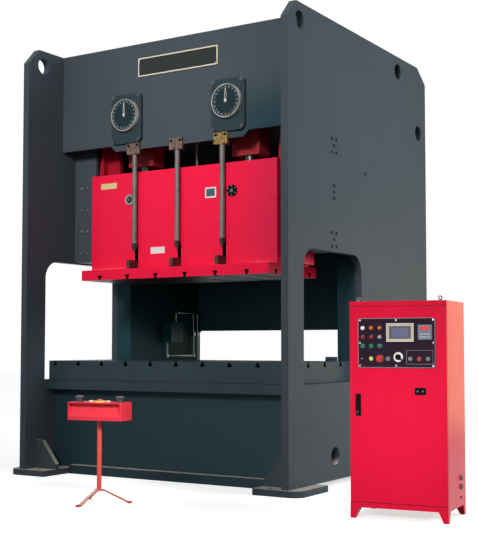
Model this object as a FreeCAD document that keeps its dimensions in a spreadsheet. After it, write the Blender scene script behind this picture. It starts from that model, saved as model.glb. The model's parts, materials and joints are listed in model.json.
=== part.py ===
import FreeCAD, Part
import math
import operator
import os
from types import SimpleNamespace

import Sketcher

# Straight-side hydraulic press: two thick side plates carry the crown, the bed and the guide rails.
# The slide runs between the rails on two rams. A control cabinet and a two-hand console stand beside it.
# Origin: floor level at the middle of the press. +X to the right, +Y to the rear, +Z up. Millimetres.

given = {
    # side plates
    "pressDepth": 3200,
    "pressHeight": 4500,
    "sideThick": 75,
    "frontBevelDeep": 155,
    "frontBevelHigh": 175,
    "rearBevelDeep": 225,
    "rearBevelHigh": 155,
    "windowDeep": 1210,
    "windowUnder": 10,
    "windowRound": 180,
    "liftHoleWide": 170,
    "frontHoleBack": 225,
    "topHoleDrop": 165,
    "rearHoleBack": 2432,
    "midHoleBack": 2987,
    "midHoleDrop": 754,
    "lowHoleBack": 901,
    "lowHoleUp": 287,
    # feet and their gussets
    "footThick": 60,
    "footReach": 285,
    "footOut": 125,
    "footLong": 540,
    "footPast": 30,
    "footRound": 110,
    "anchorIn": 145,
    "anchorEnd": 60,
    "anchorHole": 48,
    "gussetThick": 50,
    "gussetBack": 180,
    "gussetTop": 90,
    "gussetHigh": 290,
    "gussetNose": 50,
    # work line: the vertical plane through the middle of the slide
    "workAhead": 700,
    # columns and rear wall
    "columnBack": 595,
    "columnWide": 200,
    "columnFace": 40,
    "columnSide": 30,
    "rearWallBack": 1270,
    "rearWallThick": 40,
    "rearWindowHigh": 541,
    "rearWindowCut": 25,
    "ledgeUp": 1775,
    "ledgeHigh": 25,
    "ledgeOut": 30,
    # bed
    "bedHeight": 980,
    "bedPlateThick": 100,
    "bedWallThick": 40,
    "bedWallIn": 125,
    "bedRibAt": 500,
    "bedFlangeGap": 10,
    "bedFlangeOut": 90,
    # bolster
    "bolsterClear": 35,
    "bolsterDeep": 1170,
    "bolsterHigh": 200,
    "stopWide": 91,
    "stopDeep": 90,
    "stopHigh": 43,
    "stopIn": 164,
    # T-slots, the same section in the bolster and in the slide plate
    "slotMouth": 28,
    "slotHead": 50,
    "slotHeadHigh": 22,
    "slotDeep": 48,
    "bolsterPitch": 314,
    "slidePitch": 363,
    "crossPitch": 335,
    # crown, its heights measured down from the press's top
    "crownAhead": 360,
    "crownFace": 50,
    "crownEdgeDrop": 1050,
    "crownLip": 62,
    "crownLipWide": 1600,
    "crownFloorDrop": 900,
    "crownFloorThick": 60,
    "crownTop": 50,
    "crownWallBack": 350,
    "crownWallThick": 40,
    "crownRearThick": 40,
    # slide and its plate, hung below the crown's floor at the top of the stroke
    "slideHang": 445,
    "stroke": 400,
    "slideWide": 2308,
    "slideDeep": 626,
    "slideHigh": 1024,
    "slidePlateThick": 107,
    "slidePlateDeep": 950,
    "earOut": 176,
    "earThick": 210,
    "earRise": 405,
    "earNeckIn": 95,
    "earTopIn": 144,
    "earWallIn": 162,
    "earWebThick": 60,
    "earWebFootIn": 330,
    "earWebTopIn": 305,
    "knockPitch": 547,
    "knockSlotWide": 44,
    "knockSlotHigh": 249,
    "slideCapWide": 115,
    "slideCapOut": 10,
    "slideCapAt": 640,
    "slideCapUp": 739,
    # guide rails, from just above the slide's underside up to the crown
    "railDeep": 300,
    "railClear": 86,
    "railWide": 295,
    "railUp": 119,
    "guideGap": 0.4,
    # bolt heads, their heights measured up from the foot of the rails
    "boltWide": 30,
    "boltHigh": 15,
    "railBoltFirst": 100,
    "railBoltPitch": 240,
    "railBoltIn": 105,
    "railBoltAcross": 87,
    "fiveBoltLow": 109,
    "fiveBoltHigh": 1024,
    "fiveBoltAlong": 94,
    "fiveBoltUp": 132,
    "threeBoltUp": 572,
    "threeBoltPitch": 65,
    "loneBoltUp": 842,
    # rams, housings and cylinders
    "ramSpread": 662.5,
    "ramWide": 150,
    "ramFootWide": 200,
    "ramFootHigh": 45,
    "ramEngaged": 140,
    "runningGap": 0.05,
    "passGap": 5,
    "housingWide": 325,
    "housingDeep": 200,
    "housingHigh": 345,
    "cylinderWide": 300,
    "cylinderSpare": 110,
    "cylinderTop": 40,
    "strokeRodWide": 30,
    # stroke dials on the crown
    "dialSpread": 635,
    "dialCentreDrop": 750,
    "dialPlateWide": 390,
    "dialPlateBelow": 293,
    "dialPlateAbove": 230,
    "dialPlateThick": 30,
    "dialPlateCut": 36,
    "dialDrumWide": 330,
    "dialDrumOut": 40,
    "pointerLong": 125,
    "pointerTail": 40,
    "pointerFoot": 13,
    "pointerTip": 4,
    "pointerThick": 5,
    "pointerHub": 44,
    "restGap": 0.3,
    # knock-out bars, rods and brackets
    "bracketWide": 164,
    "bracketHigh": 115,
    "bracketDrop": 53,
    "bracketOut": 27,
    "bracketNeck": 120,
    "knockRodWide": 54,
    "knockRodBack": 8,
    "knockRodUp": 192,
    "knockTipWide": 38,
    "knockTipHigh": 29,
    "knockNutWide": 62,
    "knockNutHigh": 47,
    "barWide": 40,
    "barHigh": 92,
    "barAhead": 145,
    "barEdge": 8,
    # valve box and pipes on the left column
    "valveBoxAt": 646,
    "valveBoxDeep": 248,
    "valveBoxLow": 1374,
    "valveBoxHigh": 250,
    "valveBoxWide": 120,
    "pipeWide": 24,
    "elbowWide": 34,
    "pipeOff": 34,
    "pipeLow": 1215,
    "pipeTop": 1743,
    "pipeFront": 560,
    "pipeBack": 1112,
    "pipeReturn": 1200,
    "pipeThinFront": 745,
    "pipeEnd": 1060,
    "saddleWide": 44,
    "saddleLong": 36,
    # control cabinet, in its own corner's frame
    "cabinetX": 2560,
    "cabinetAhead": 2295,
    "cabinetTurn": 7,
    "cabinetWide": 775,
    "cabinetDeep": 550,
    "cabinetHigh": 1682,
    "cabinetWall": 6,
    "capHigh": 40,
    "plinthHigh": 126,
    "plinthArch": 84,
    "plinthFoot": 37,
    "plinthSlant": 38,
    "doorThick": 22,
    "doorSheet": 4,
    "doorGap": 0.6,
    "doorEdge": 3,
    "doorMargin": 1,
    "eyeBarWide": 8,
    "eyeRingWide": 34,
    "eyeIn": 60,
    "eyeBack": 50,
    "glandWide": 44,
    "glandOut": 12,
    "glandUp": 235,
    "glandBack": 400,
    "glandPitch": 70,
    # control panel on the door
    "panelLeft": 74,
    "panelLow": 1167,
    "panelWide": 616,
    "panelHigh": 383,
    "panelThick": 14,
    "panelRound": 20,
    "pocketDeep": 9,
    "pressTravel": 4,
    "lampWide": 30,
    "lampOut": 14,
    "capSides": 32,
    "buttonWide": 30,
    "buttonOut": 10,
    "firstColumn": 114,
    "columnPitch": 69,
    "topRow": 1474,
    "midRow": 1404,
    "greenRow": 1335,
    "lowRow": 1236,
    "stopHeadWide": 50,
    "stopNeckWide": 24,
    "stopHeadHigh": 16,
    "knobAt": 319,
    "knobWide": 34,
    "selectorAt": 399,
    "selectorUp": 1249,
    "selectorWide": 44,
    "knobOut": 24,
    "gripThick": 10,
    "groupFirst": 495,
    "groupPitch": 69.5,
    "toggleWide": 9,
    "toggleThick": 7,
    "toggleLong": 28,
    "screenLeft": 307,
    "screenLow": 1367,
    "screenWide": 217,
    "screenHigh": 142,
    "screenOut": 10,
    "screenEdge": 22,
    "counterLeft": 558,
    "counterLow": 1382,
    "counterWide": 107,
    "counterHigh": 114,
    "glassDeep": 3,
    # door handle
    "handleAt": 71.5,
    "handleLow": 802,
    "handleHigh": 160,
    "handleWide": 37,
    "handleOut": 26,
    "handlePivot": 20,
    # two-hand console
    "consoleX": 390,
    "consoleAhead": 2720,
    "consoleTurn": 10,
    "consoleWide": 514,
    "consoleDeep": 205,
    "consoleLow": 704,
    "consoleHigh": 153,
    "consoleRound": 8,
    "notchDeep": 36,
    "sillHigh": 32,
    "shadeHigh": 26,
    "lipHigh": 12,
    "cheekThick": 10,
    "postWide": 40,
    "palmSpread": 197,
    "palmNeckWide": 50,
    "palmNeckHigh": 30,
    "palmWide": 72,
    "palmOut": 47,
    "smallSpread": 82,
    "smallWide": 24,
    "smallOut": 9,
    "consolePocket": 12,
    "consoleTravel": 6,
    "legReach": 282,
    "legTurn": 270,
    "legWide": 34,
    "legHubWide": 84,
    "legHubLow": 104,
    "legHubHigh": 12,
    "legTipHigh": 18,
    "legTipLong": 36,
}

signs = {"+": operator.add, "-": operator.sub, "*": operator.mul, "/": operator.truediv}


class Size:
    """A length with its value and the words that the sheet works it out from."""

    def __init__(self, value, text):
        self.value = value
        self.text = text

    def __add__(self, other):
        return combine(self, "+", other)

    def __radd__(self, other):
        return combine(other, "+", self)

    def __sub__(self, other):
        return combine(self, "-", other)

    def __rsub__(self, other):
        return combine(other, "-", self)

    def __mul__(self, other):
        return combine(self, "*", other)

    def __rmul__(self, other):
        return combine(other, "*", self)

    def __truediv__(self, other):
        return combine(self, "/", other)

    def __neg__(self):
        return combine(0, "-", self)


def as_size(thing):
    """A plain number as a size of its own."""
    if isinstance(thing, Size):
        return thing
    return Size(thing, "(" + str(thing) + ")")


def combine(first, sign, second):
    """Join two sizes with one sign, in value and in words."""
    left = as_size(first)
    right = as_size(second)
    value = signs[sign](left.value, right.value)
    return Size(value, "(" + left.text + " " + sign + " " + right.text + ")")


def cosine(angle):
    return Size(math.cos(math.radians(angle.value)), "cos(" + angle.text + ")")


def sine(angle):
    return Size(math.sin(math.radians(angle.value)), "sin(" + angle.text + ")")


doc = FreeCAD.newDocument("HydraulicPress")
sheet = doc.addObject("Spreadsheet::Sheet", "sizes")
for row, (name, value) in enumerate(given.items(), start=1):
    sheet.set("A" + str(row), name)
    sheet.set("B" + str(row), str(value))
    sheet.setAlias("B" + str(row), name)
doc.recompute()

size = SimpleNamespace(**{name: Size(value, "sizes." + name) for name, value in given.items()})
pieces = []

# ---------------------------------------------------------------- helpers


def bind(thing, name, value):
    """Give a property its size and tie it to the sheet."""
    setattr(thing, name, as_size(value).value)
    thing.setExpression(name, as_size(value).text)


def place(piece, x=0, y=0, z=0, turn=None):
    """Put a piece at its place in the press's frame, turned about the vertical."""
    for axis, distance in zip("xyz", (x, y, z)):
        piece.setExpression("Placement.Base." + axis, as_size(distance).text)
    if turn is not None:
        piece.setExpression("Placement.Rotation.Angle", turn.text)


def keep(piece, label):
    """Name a finished piece and list it for writing."""
    piece.Label = label
    pieces.append(piece)
    return piece


def new_body(name):
    return doc.addObject("PartDesign::Body", name)


def new_sketch(body, role, lift=0):
    """A sketch on one of the body's origin planes, moved along that plane's normal."""
    sketch = body.newObject("Sketcher::SketchObject", body.Name + "Sketch")
    plane = next(feature for feature in body.Origin.OriginFeatures if feature.Role == role)
    sketch.AttachmentSupport = [(plane, "")]
    sketch.MapMode = "FlatFace"
    sketch.setExpression("AttachmentOffset.Base.z", as_size(lift).text)
    return sketch


def pin(sketch, geometry, point, x, y):
    """Dimension a point of the sketch from the sketch's origin."""
    for kind, distance in (("DistanceX", x), ("DistanceY", y)):
        value = float(as_size(distance).value)
        index = sketch.addConstraint(Sketcher.Constraint(kind, -1, 1, geometry, point, value))
        sketch.setExpression("Constraints[" + str(index) + "]", as_size(distance).text)


def draw_loop(sketch, corners):
    """Draw a closed outline of straight sides through the corners."""
    spots = [FreeCAD.Vector(as_size(x).value, as_size(y).value, 0) for x, y in corners]
    sides = []
    for start, end in zip(spots, spots[1:] + spots[:1]):
        sides.append(sketch.addGeometry(Part.LineSegment(start, end)))
    for side, following in zip(sides, sides[1:] + sides[:1]):
        sketch.addConstraint(Sketcher.Constraint("Coincident", side, 2, following, 1))
    for side, (x, y) in zip(sides, corners):
        pin(sketch, side, 1, x, y)


def draw_box(sketch, left, right, low, high):
    draw_loop(sketch, [(left, low), (right, low), (right, high), (left, high)])


def draw_circle(sketch, x, y, wide):
    centre = FreeCAD.Vector(as_size(x).value, as_size(y).value, 0)
    value = float(as_size(wide).value)
    circle = sketch.addGeometry(Part.Circle(centre, FreeCAD.Vector(0, 0, 1), value / 2))
    index = sketch.addConstraint(Sketcher.Constraint("Diameter", circle, value))
    sketch.setExpression("Constraints[" + str(index) + "]", as_size(wide).text)
    pin(sketch, circle, 3, x, y)


def pad(body, sketch, length, both=False, back=False):
    """Thicken a sketch: both ways from its plane, or back against its normal."""
    feature = body.newObject("PartDesign::Pad", body.Name + "Pad")
    feature.Profile = sketch
    bind(feature, "Length", length)
    feature.SideType = "Symmetric" if both else "One side"
    feature.Reversed = back
    doc.recompute()
    return feature


def cut(body, sketch, depth=None):
    """Cut a sketch into the body, against its normal, or right through both ways."""
    before = body.Shape.Volume
    feature = body.newObject("PartDesign::Pocket", body.Name + "Pocket")
    feature.Profile = sketch
    if depth is None:
        feature.Type = "ThroughAll"
        feature.SideType = "Symmetric"
    else:
        bind(feature, "Length", depth)
    doc.recompute()
    if body.Shape.Volume >= before:
        raise RuntimeError(feature.Name + " cuts nothing")
    return feature


def spread(body, feature, axis, pitch, count):
    """Repeat a cut in a row along one axis of its own sketch."""
    before = body.Shape.Volume
    row = body.newObject("PartDesign::LinearPattern", body.Name + "Row")
    row.Originals = [feature]
    row.Direction = (feature.Profile[0], [axis])
    row.Mode = "Spacing"
    bind(row, "Offset", pitch)
    row.Occurrences = count
    body.Tip = row
    doc.recompute()
    if body.Shape.Volume >= before:
        raise RuntimeError(row.Name + " repeats nothing")
    return row


def spin(body, sketch, role="V_Axis"):
    """Turn a sketch once round its own upright axis."""
    feature = body.newObject("PartDesign::Revolution", body.Name + "Revolution")
    feature.Profile = sketch
    feature.ReferenceAxis = (sketch, [role])
    feature.Angle = 360
    doc.recompute()
    return feature


def ease_edges(body, radius, wanted, kind="Fillet"):
    """Round, or bevel, the edges of the body that the test picks."""
    base = body.Tip
    names = []
    for index, edge in enumerate(base.Shape.Edges, start=1):
        if len(edge.Vertexes) == 2 and wanted(edge):
            names.append("Edge" + str(index))
    feature = body.newObject("PartDesign::" + kind, body.Name + kind)
    feature.Base = (base, names)
    bind(feature, "Radius" if kind == "Fillet" else "Size", radius)
    doc.recompute()
    return feature


def runs_along(edge, axis):
    """Whether a straight edge lies along X, Y or Z of its own body."""
    first, last = edge.Vertexes[0].Point, edge.Vertexes[1].Point
    step = last - first
    others = [getattr(step, name) for name in "xyz" if name != axis]
    return max(abs(other) for other in others) < 1e-6


def middle_of(edge):
    return (edge.Vertexes[0].Point + edge.Vertexes[1].Point) * 0.5


def is_at(value, distance):
    return abs(value - as_size(distance).value) < 1e-3


def block(name, x, y, z):
    """A box between two corners: x, y and z are each a low and a high size."""
    box = doc.addObject("Part::Box", name)
    for label, (low, high) in zip(("Length", "Width", "Height"), (x, y, z)):
        bind(box, label, high - low)
    place(box, x[0], y[0], z[0])
    return box


def rod(name, wide, x, y, low, high, axis="Z"):
    """A round bar along one axis, from its low end to its high end."""
    bar = doc.addObject("Part::Cylinder", name)
    bind(bar, "Radius", wide / 2)
    bind(bar, "Height", high - low)
    if axis == "Z":
        place(bar, x, y, low)
    else:
        bar.Placement = FreeCAD.Placement(FreeCAD.Vector(), FreeCAD.Rotation(FreeCAD.Vector(-1, 0, 0), 90))
        place(bar, x, low, y)
    return bar


def prism(name, wide, height, x, y, z, facing=None, sides=6):
    """A many-sided head, upright, or facing along the given direction."""
    head = doc.addObject("Part::Prism", name)
    bind(head, "Polygon", sides)
    bind(head, "Circumradius", wide / 2)
    bind(head, "Height", height)
    if facing is not None:
        turn = FreeCAD.Rotation(FreeCAD.Vector(0, 0, 1), FreeCAD.Vector(*facing))
        head.Placement = FreeCAD.Placement(FreeCAD.Vector(), turn)
    place(head, x, y, z)
    return head


def join(name, members):
    """One solid out of several that touch."""
    fused = doc.addObject("Part::MultiFuse", name)
    fused.Shapes = members
    fused.Refine = True
    return fused


def group(name, members):
    """Like pieces that share a node as separate solids."""
    together = doc.addObject("Part::Compound", name)
    together.Links = members
    return together


def mirrored(name, source):
    """The left-hand twin of a right-hand piece."""
    twin = doc.addObject("Part::Mirroring", name)
    twin.Source = source
    twin.Normal = FreeCAD.Vector(1, 0, 0)
    return twin


# ---------------------------------------------------------------- shared places

slideHalf = size.slideWide / 2
earReach = slideHalf + size.earOut
railInner = slideHalf + size.railClear
sideInner = railInner + size.railWide
side = sideInner + size.sideThick
anchorX = sideInner - size.anchorIn
frontEnd = -(size.pressDepth / 2)
rearEnd = size.pressDepth / 2
anchorY = rearEnd - size.anchorEnd
workY = -size.workAhead
columnFront = workY + size.columnBack
columnInner = sideInner - size.columnWide
bedFront = columnFront - size.windowDeep + size.footPast
bedPlateLow = size.bedHeight - size.bedPlateThick
bolsterTop = size.bedHeight + size.bolsterHigh
crownEdge = size.pressHeight - size.crownEdgeDrop
crownFloor = size.pressHeight - size.crownFloorDrop
slideTop = crownFloor - size.slideHang
slideLow = slideTop - size.slideHigh
slidePlateLow = slideLow - size.slidePlateThick
railBottom = slideLow + size.railUp
windowTop = railBottom - size.windowUnder
slideFront = workY - size.slideDeep / 2
slideRear = workY + size.slideDeep / 2
crownFront = workY - size.crownAhead
crownBack = crownFront + size.crownFace
crownWallFront = workY + size.crownWallBack
cylinderLow = crownFloor + size.crownFloorThick
ramLong = cylinderLow - slideTop + size.stroke + size.ramEngaged
cylinderHigh = size.stroke + size.ramEngaged + size.cylinderSpare + size.cylinderTop

# ---------------------------------------------------------------- side plates


def side_plate(label, place_x):
    """A flame-cut plate with sloped top corners, a die window and lifting holes."""
    body = new_body(label)
    outline = new_sketch(body, "YZ_Plane")
    draw_loop(outline, [
        (frontEnd, size.footThick),
        (rearEnd, size.footThick),
        (rearEnd, size.pressHeight - size.rearBevelHigh),
        (rearEnd - size.rearBevelDeep, size.pressHeight),
        (frontEnd + size.frontBevelDeep, size.pressHeight),
        (frontEnd, size.pressHeight - size.frontBevelHigh),
    ])
    topHole = size.pressHeight - size.topHoleDrop
    draw_circle(outline, frontEnd + size.frontHoleBack, topHole, size.liftHoleWide)
    draw_circle(outline, frontEnd + size.rearHoleBack, topHole, size.liftHoleWide)
    midHole = size.pressHeight - size.midHoleDrop
    draw_circle(outline, frontEnd + size.midHoleBack, midHole, size.liftHoleWide)
    draw_circle(outline, frontEnd + size.lowHoleBack, size.lowHoleUp, size.liftHoleWide)
    pad(body, outline, size.sideThick)
    window = new_sketch(body, "YZ_Plane")
    draw_box(window, columnFront - size.windowDeep, columnFront, size.bedHeight, windowTop)
    cut(body, window)
    ease_edges(body, size.windowRound, lambda edge: (
        runs_along(edge, "x") and is_at(middle_of(edge).z, windowTop)))
    place(body, x=place_x)
    return keep(body, label)


side_plate("side_plate_right", sideInner)
side_plate("side_plate_left", -side)

# ---------------------------------------------------------------- feet


def foot(name):
    """A floor plate under one corner, with an anchor hole and an upright gusset."""
    body = new_body(name)
    outline = new_sketch(body, "XY_Plane")
    inner = sideInner - size.footReach
    outer = side + size.footOut
    far = rearEnd + size.footPast
    draw_box(outline, inner, outer, far - size.footLong, far)
    draw_circle(outline, anchorX, anchorY, size.anchorHole)
    pad(body, outline, size.footThick)
    gusset = new_sketch(body, "XZ_Plane", lift=-(rearEnd - size.gussetBack))
    top = size.footThick + size.gussetHigh
    draw_loop(gusset, [
        (sideInner, size.footThick),
        (sideInner, top),
        (sideInner - size.gussetTop, top),
        (inner, size.footThick + size.gussetNose),
        (inner, size.footThick),
    ])
    pad(body, gusset, size.gussetThick, both=True)
    ease_edges(body, size.footRound, lambda edge: (
        runs_along(edge, "z") and is_at(middle_of(edge).x, outer) and is_at(middle_of(edge).y, far)))
    return body


rearFoot = foot("rearFoot")
frontFoot = doc.addObject("Part::Mirroring", "frontFoot")
frontFoot.Source = rearFoot
frontFoot.Normal = FreeCAD.Vector(0, 1, 0)
rightFeet = group("rightFeet", [rearFoot, frontFoot])
keep(group("feet", [rightFeet, mirrored("leftFeet", rightFeet)]), "feet")

# ---------------------------------------------------------------- crown

crownFacePlate = new_body("crownFacePlate")
outline = new_sketch(crownFacePlate, "XZ_Plane")
lipHalf = size.crownLipWide / 2
lipLow = crownEdge - size.crownLip
draw_loop(outline, [
    (-sideInner, crownEdge),
    (-lipHalf - size.crownLip, crownEdge),
    (-lipHalf, lipLow),
    (lipHalf, lipLow),
    (lipHalf + size.crownLip, crownEdge),
    (sideInner, crownEdge),
    (sideInner, size.pressHeight),
    (-sideInner, size.pressHeight),
])
pad(crownFacePlate, outline, size.crownFace)
place(crownFacePlate, y=crownBack)
keep(crownFacePlate, "crown_front_plate")

crownBox = new_body("crownBox")
section = new_sketch(crownBox, "YZ_Plane")
crownWallRear = crownWallFront + size.crownWallThick
crownCeiling = size.pressHeight - size.crownTop
draw_loop(section, [
    (crownBack, crownFloor),
    (size.rearWallBack, crownFloor),
    (size.rearWallBack, crownFloor + size.crownRearThick),
    (crownWallRear, crownFloor + size.crownRearThick),
    (crownWallRear, crownCeiling),
    (size.rearWallBack, crownCeiling),
    (size.rearWallBack, size.pressHeight),
    (crownBack, size.pressHeight),
    (crownBack, crownCeiling),
    (crownWallFront, crownCeiling),
    (crownWallFront, crownFloor + size.crownFloorThick),
    (crownBack, crownFloor + size.crownFloorThick),
])
pad(crownBox, section, sideInner * 2, both=True)
holes = new_sketch(crownBox, "XY_Plane", lift=crownFloor + size.crownFloorThick)
for turn in (-1, 1):
    draw_circle(holes, turn * size.ramSpread, workY, size.ramWide + 2 * size.passGap)
draw_circle(holes, 0, workY, size.strokeRodWide + 2 * size.passGap)
cut(crownBox, holes, size.crownFloorThick)
keep(crownBox, "crown_box")

# ---------------------------------------------------------------- columns and rear wall


def column():
    """A right-hand upright folded from a front face and an inner side."""
    body = new_body("columnRight")
    outline = new_sketch(body, "XY_Plane", lift=size.footThick)
    draw_loop(outline, [
        (columnInner, columnFront),
        (sideInner, columnFront),
        (sideInner, columnFront + size.columnFace),
        (columnInner + size.columnSide, columnFront + size.columnFace),
        (columnInner + size.columnSide, size.rearWallBack),
        (columnInner, size.rearWallBack),
    ])
    pad(body, outline, crownFloor - size.footThick)
    return keep(body, "column_right")


keep(mirrored("columnLeft", column()), "column_left")

rearWall = new_body("rearWall")
outline = new_sketch(rearWall, "XZ_Plane")
draw_box(outline, -sideInner, sideInner, size.footThick, size.pressHeight)
pad(rearWall, outline, size.rearWallThick)
window = new_sketch(rearWall, "XZ_Plane")
windowHalf = columnInner
windowHigh = size.bedHeight + size.rearWindowHigh
draw_loop(window, [
    (-windowHalf + size.rearWindowCut, size.bedHeight),
    (windowHalf - size.rearWindowCut, size.bedHeight),
    (windowHalf, size.bedHeight + size.rearWindowCut),
    (windowHalf, windowHigh - size.rearWindowCut),
    (windowHalf - size.rearWindowCut, windowHigh),
    (-windowHalf + size.rearWindowCut, windowHigh),
    (-windowHalf, windowHigh - size.rearWindowCut),
    (-windowHalf, size.bedHeight + size.rearWindowCut),
])
cut(rearWall, window)
ledge = new_sketch(rearWall, "XZ_Plane", lift=size.rearWallThick)
draw_box(ledge, -columnInner, columnInner, size.ledgeUp, size.ledgeUp + size.ledgeHigh)
pad(rearWall, ledge, size.ledgeOut)
place(rearWall, y=size.rearWallBack + size.rearWallThick)
keep(rearWall, "rear_wall")

# ---------------------------------------------------------------- T-slots


def tee_slots(body, face, up, rows):
    """Cut rows of T-slots into the face at one height, open upwards where up is 1, else downwards.

    A row is the plane that its slots cross, their middle, their pitch and how many there are.
    """
    mouth = size.slotMouth / 2
    head = size.slotHead / 2
    neck = face - up * (size.slotDeep - size.slotHeadHigh)
    floor = face - up * size.slotDeep
    for plane, middle, pitch, count in rows:
        groove = new_sketch(body, plane)
        first = middle - pitch * (count - 1) / 2
        draw_loop(groove, [
            (first - mouth, face),
            (first + mouth, face),
            (first + mouth, neck),
            (first + head, neck),
            (first + head, floor),
            (first - head, floor),
            (first - head, neck),
            (first - mouth, neck),
        ])
        spread(body, cut(body, groove), "H_Axis", pitch, count)


def bolster():
    """The T-slotted table plate, with a locating block at its right rear corner."""
    body = new_body("bolsterPlate")
    half = sideInner - size.bolsterClear
    front = workY - size.bolsterDeep / 2
    rear = workY + size.bolsterDeep / 2
    outline = new_sketch(body, "XY_Plane", lift=size.bedHeight)
    draw_box(outline, -half, half, front, rear)
    pad(body, outline, size.bolsterHigh)
    tee_slots(body, bolsterTop, 1, [
        ("XZ_Plane", as_size(0), size.bolsterPitch, 8),
        ("YZ_Plane", workY, size.crossPitch, 3),
    ])
    stop = new_sketch(body, "XY_Plane", lift=bolsterTop)
    stopRight = half - size.stopIn
    draw_box(stop, stopRight - size.stopWide, stopRight, rear - size.stopDeep, rear)
    pad(body, stop, size.stopHigh)
    return keep(body, "bolster")


bolster()

# ---------------------------------------------------------------- bed

bedPlate = new_body("bedPlate")
outline = new_sketch(bedPlate, "XY_Plane", lift=bedPlateLow)
draw_box(outline, -sideInner, sideInner, bedFront, columnFront)
pad(bedPlate, outline, size.bedPlateThick)
keep(bedPlate, "bed_top_plate")

bedBox = new_body("bedBox")
bedWallFront = bedFront + size.bedWallIn
bedWallIn = bedWallFront + size.bedWallThick
bedRear = columnFront - size.bedWallThick
ribIn = size.bedRibAt - size.bedWallThick / 2
ribOut = size.bedRibAt + size.bedWallThick / 2
outline = new_sketch(bedBox, "XY_Plane", lift=size.footThick)
draw_loop(outline, [
    (-sideInner, bedWallFront),
    (sideInner, bedWallFront),
    (sideInner, bedWallIn),
    (ribOut, bedWallIn),
    (ribOut, bedRear),
    (sideInner, bedRear),
    (sideInner, columnFront),
    (-sideInner, columnFront),
    (-sideInner, bedRear),
    (-ribOut, bedRear),
    (-ribOut, bedWallIn),
    (-sideInner, bedWallIn),
])
draw_box(outline, -ribIn, ribIn, bedWallIn, bedRear)
pad(bedBox, outline, bedPlateLow - size.footThick)
flange = new_sketch(bedBox, "XY_Plane")
flangeHalf = sideInner - size.footReach - size.bedFlangeGap
draw_box(flange, -flangeHalf, flangeHalf, bedWallFront - size.bedFlangeOut, bedWallIn)
pad(bedBox, flange, size.bedFlangeOut)
keep(bedBox, "bed_box")

# ---------------------------------------------------------------- guide rails


def guide_rail():
    """A right-hand channel that holds the slide's ear on three sides."""
    body = new_body("guideRailRight")
    outline = new_sketch(body, "XY_Plane", lift=railBottom)
    front = workY - size.railDeep / 2
    rear = workY + size.railDeep / 2
    earFront = workY - size.earThick / 2 - size.guideGap
    earRear = workY + size.earThick / 2 + size.guideGap
    floor = earReach + size.guideGap
    draw_loop(outline, [
        (railInner, front),
        (sideInner, front),
        (sideInner, rear),
        (railInner, rear),
        (railInner, earRear),
        (floor, earRear),
        (floor, earFront),
        (railInner, earFront),
    ])
    pad(body, outline, crownFloor - railBottom)
    return keep(body, "guide_rail_right")


keep(mirrored("guideRailLeft", guide_rail()), "guide_rail_left")

# ---------------------------------------------------------------- frame bolts


def frame_bolts():
    """Bolt heads on the front of the rails and on the outside of the side plates."""
    heads = []
    railFront = workY - size.railDeep / 2
    outerBolt = sideInner - size.railBoltIn
    for step in range(4):
        up = railBottom + size.railBoltFirst + step * size.railBoltPitch
        for across in (outerBolt - size.railBoltAcross, outerBolt):
            heads.append(prism("railBolt", size.boltWide, size.boltHigh,
                               across, railFront, up, facing=(0, -1, 0)))
    spots = [(workY + size.workAhead, size.loneBoltUp)]
    spots += [(workY, size.threeBoltUp + step * size.threeBoltPitch) for step in (-1, 0, 1)]
    for middle in (size.fiveBoltLow, size.fiveBoltHigh):
        spots.append((workY, middle))
        for along in (-1, 1):
            for up in (-1, 1):
                spots.append((workY + along * size.fiveBoltAlong / 2, middle + up * size.fiveBoltUp / 2))
    for along, up in spots:
        heads.append(prism("sideBolt", size.boltWide, size.boltHigh,
                           side, along, railBottom + up, facing=(1, 0, 0)))
    right = group("rightBolts", heads)
    return group("frameBolts", [right, mirrored("leftBolts", right)])


keep(frame_bolts(), "frame_bolts")

# ---------------------------------------------------------------- slide


def slide_body():
    """The slide: a deep box with knock-out slots and a guide ear, braced by a web, on each side."""
    body = new_body("slideBody")
    slotHalf = size.knockSlotWide / 2
    slotTop = slideLow + size.knockSlotHigh
    profile = new_sketch(body, "XZ_Plane")
    corners = [(-slideHalf, slideLow)]
    for turn in (-1, 0, 1):
        middle = turn * size.knockPitch
        corners += [
            (middle - slotHalf, slideLow),
            (middle - slotHalf, slotTop),
            (middle + slotHalf, slotTop),
            (middle + slotHalf, slideLow),
        ]
    corners += [(slideHalf, slideLow), (slideHalf, slideTop), (-slideHalf, slideTop)]
    draw_loop(profile, corners)
    pad(body, profile, size.slideDeep, both=True)
    earTop = slideTop + size.earRise
    for turn in (-1, 1):
        ear = new_sketch(body, "XZ_Plane")
        wallIn = turn * (earReach - size.earWallIn)
        draw_loop(ear, [
            (turn * slideHalf, slideLow),
            (turn * earReach, slideLow),
            (turn * earReach, slideTop),
            (turn * (earReach - size.earNeckIn), slideTop),
            (turn * (earReach - size.earTopIn), earTop),
            (wallIn, earTop),
            (wallIn, slideTop),
            (turn * slideHalf, slideTop),
        ])
        pad(body, ear, size.earThick, both=True)
        web = new_sketch(body, "XZ_Plane")
        draw_loop(web, [
            (turn * (earReach - size.earWebFootIn), slideTop),
            (wallIn, slideTop),
            (wallIn, earTop),
            (turn * (earReach - size.earWebTopIn), earTop),
        ])
        pad(body, web, size.earWebThick, both=True)
    caps = new_sketch(body, "XZ_Plane", lift=size.slideDeep / 2)
    for turn in (-1, 1):
        draw_circle(caps, turn * size.slideCapAt, slideLow + size.slideCapUp, size.slideCapWide)
    pad(body, caps, size.slideCapOut)
    place(body, y=workY)
    return keep(body, "slide_body")


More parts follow.
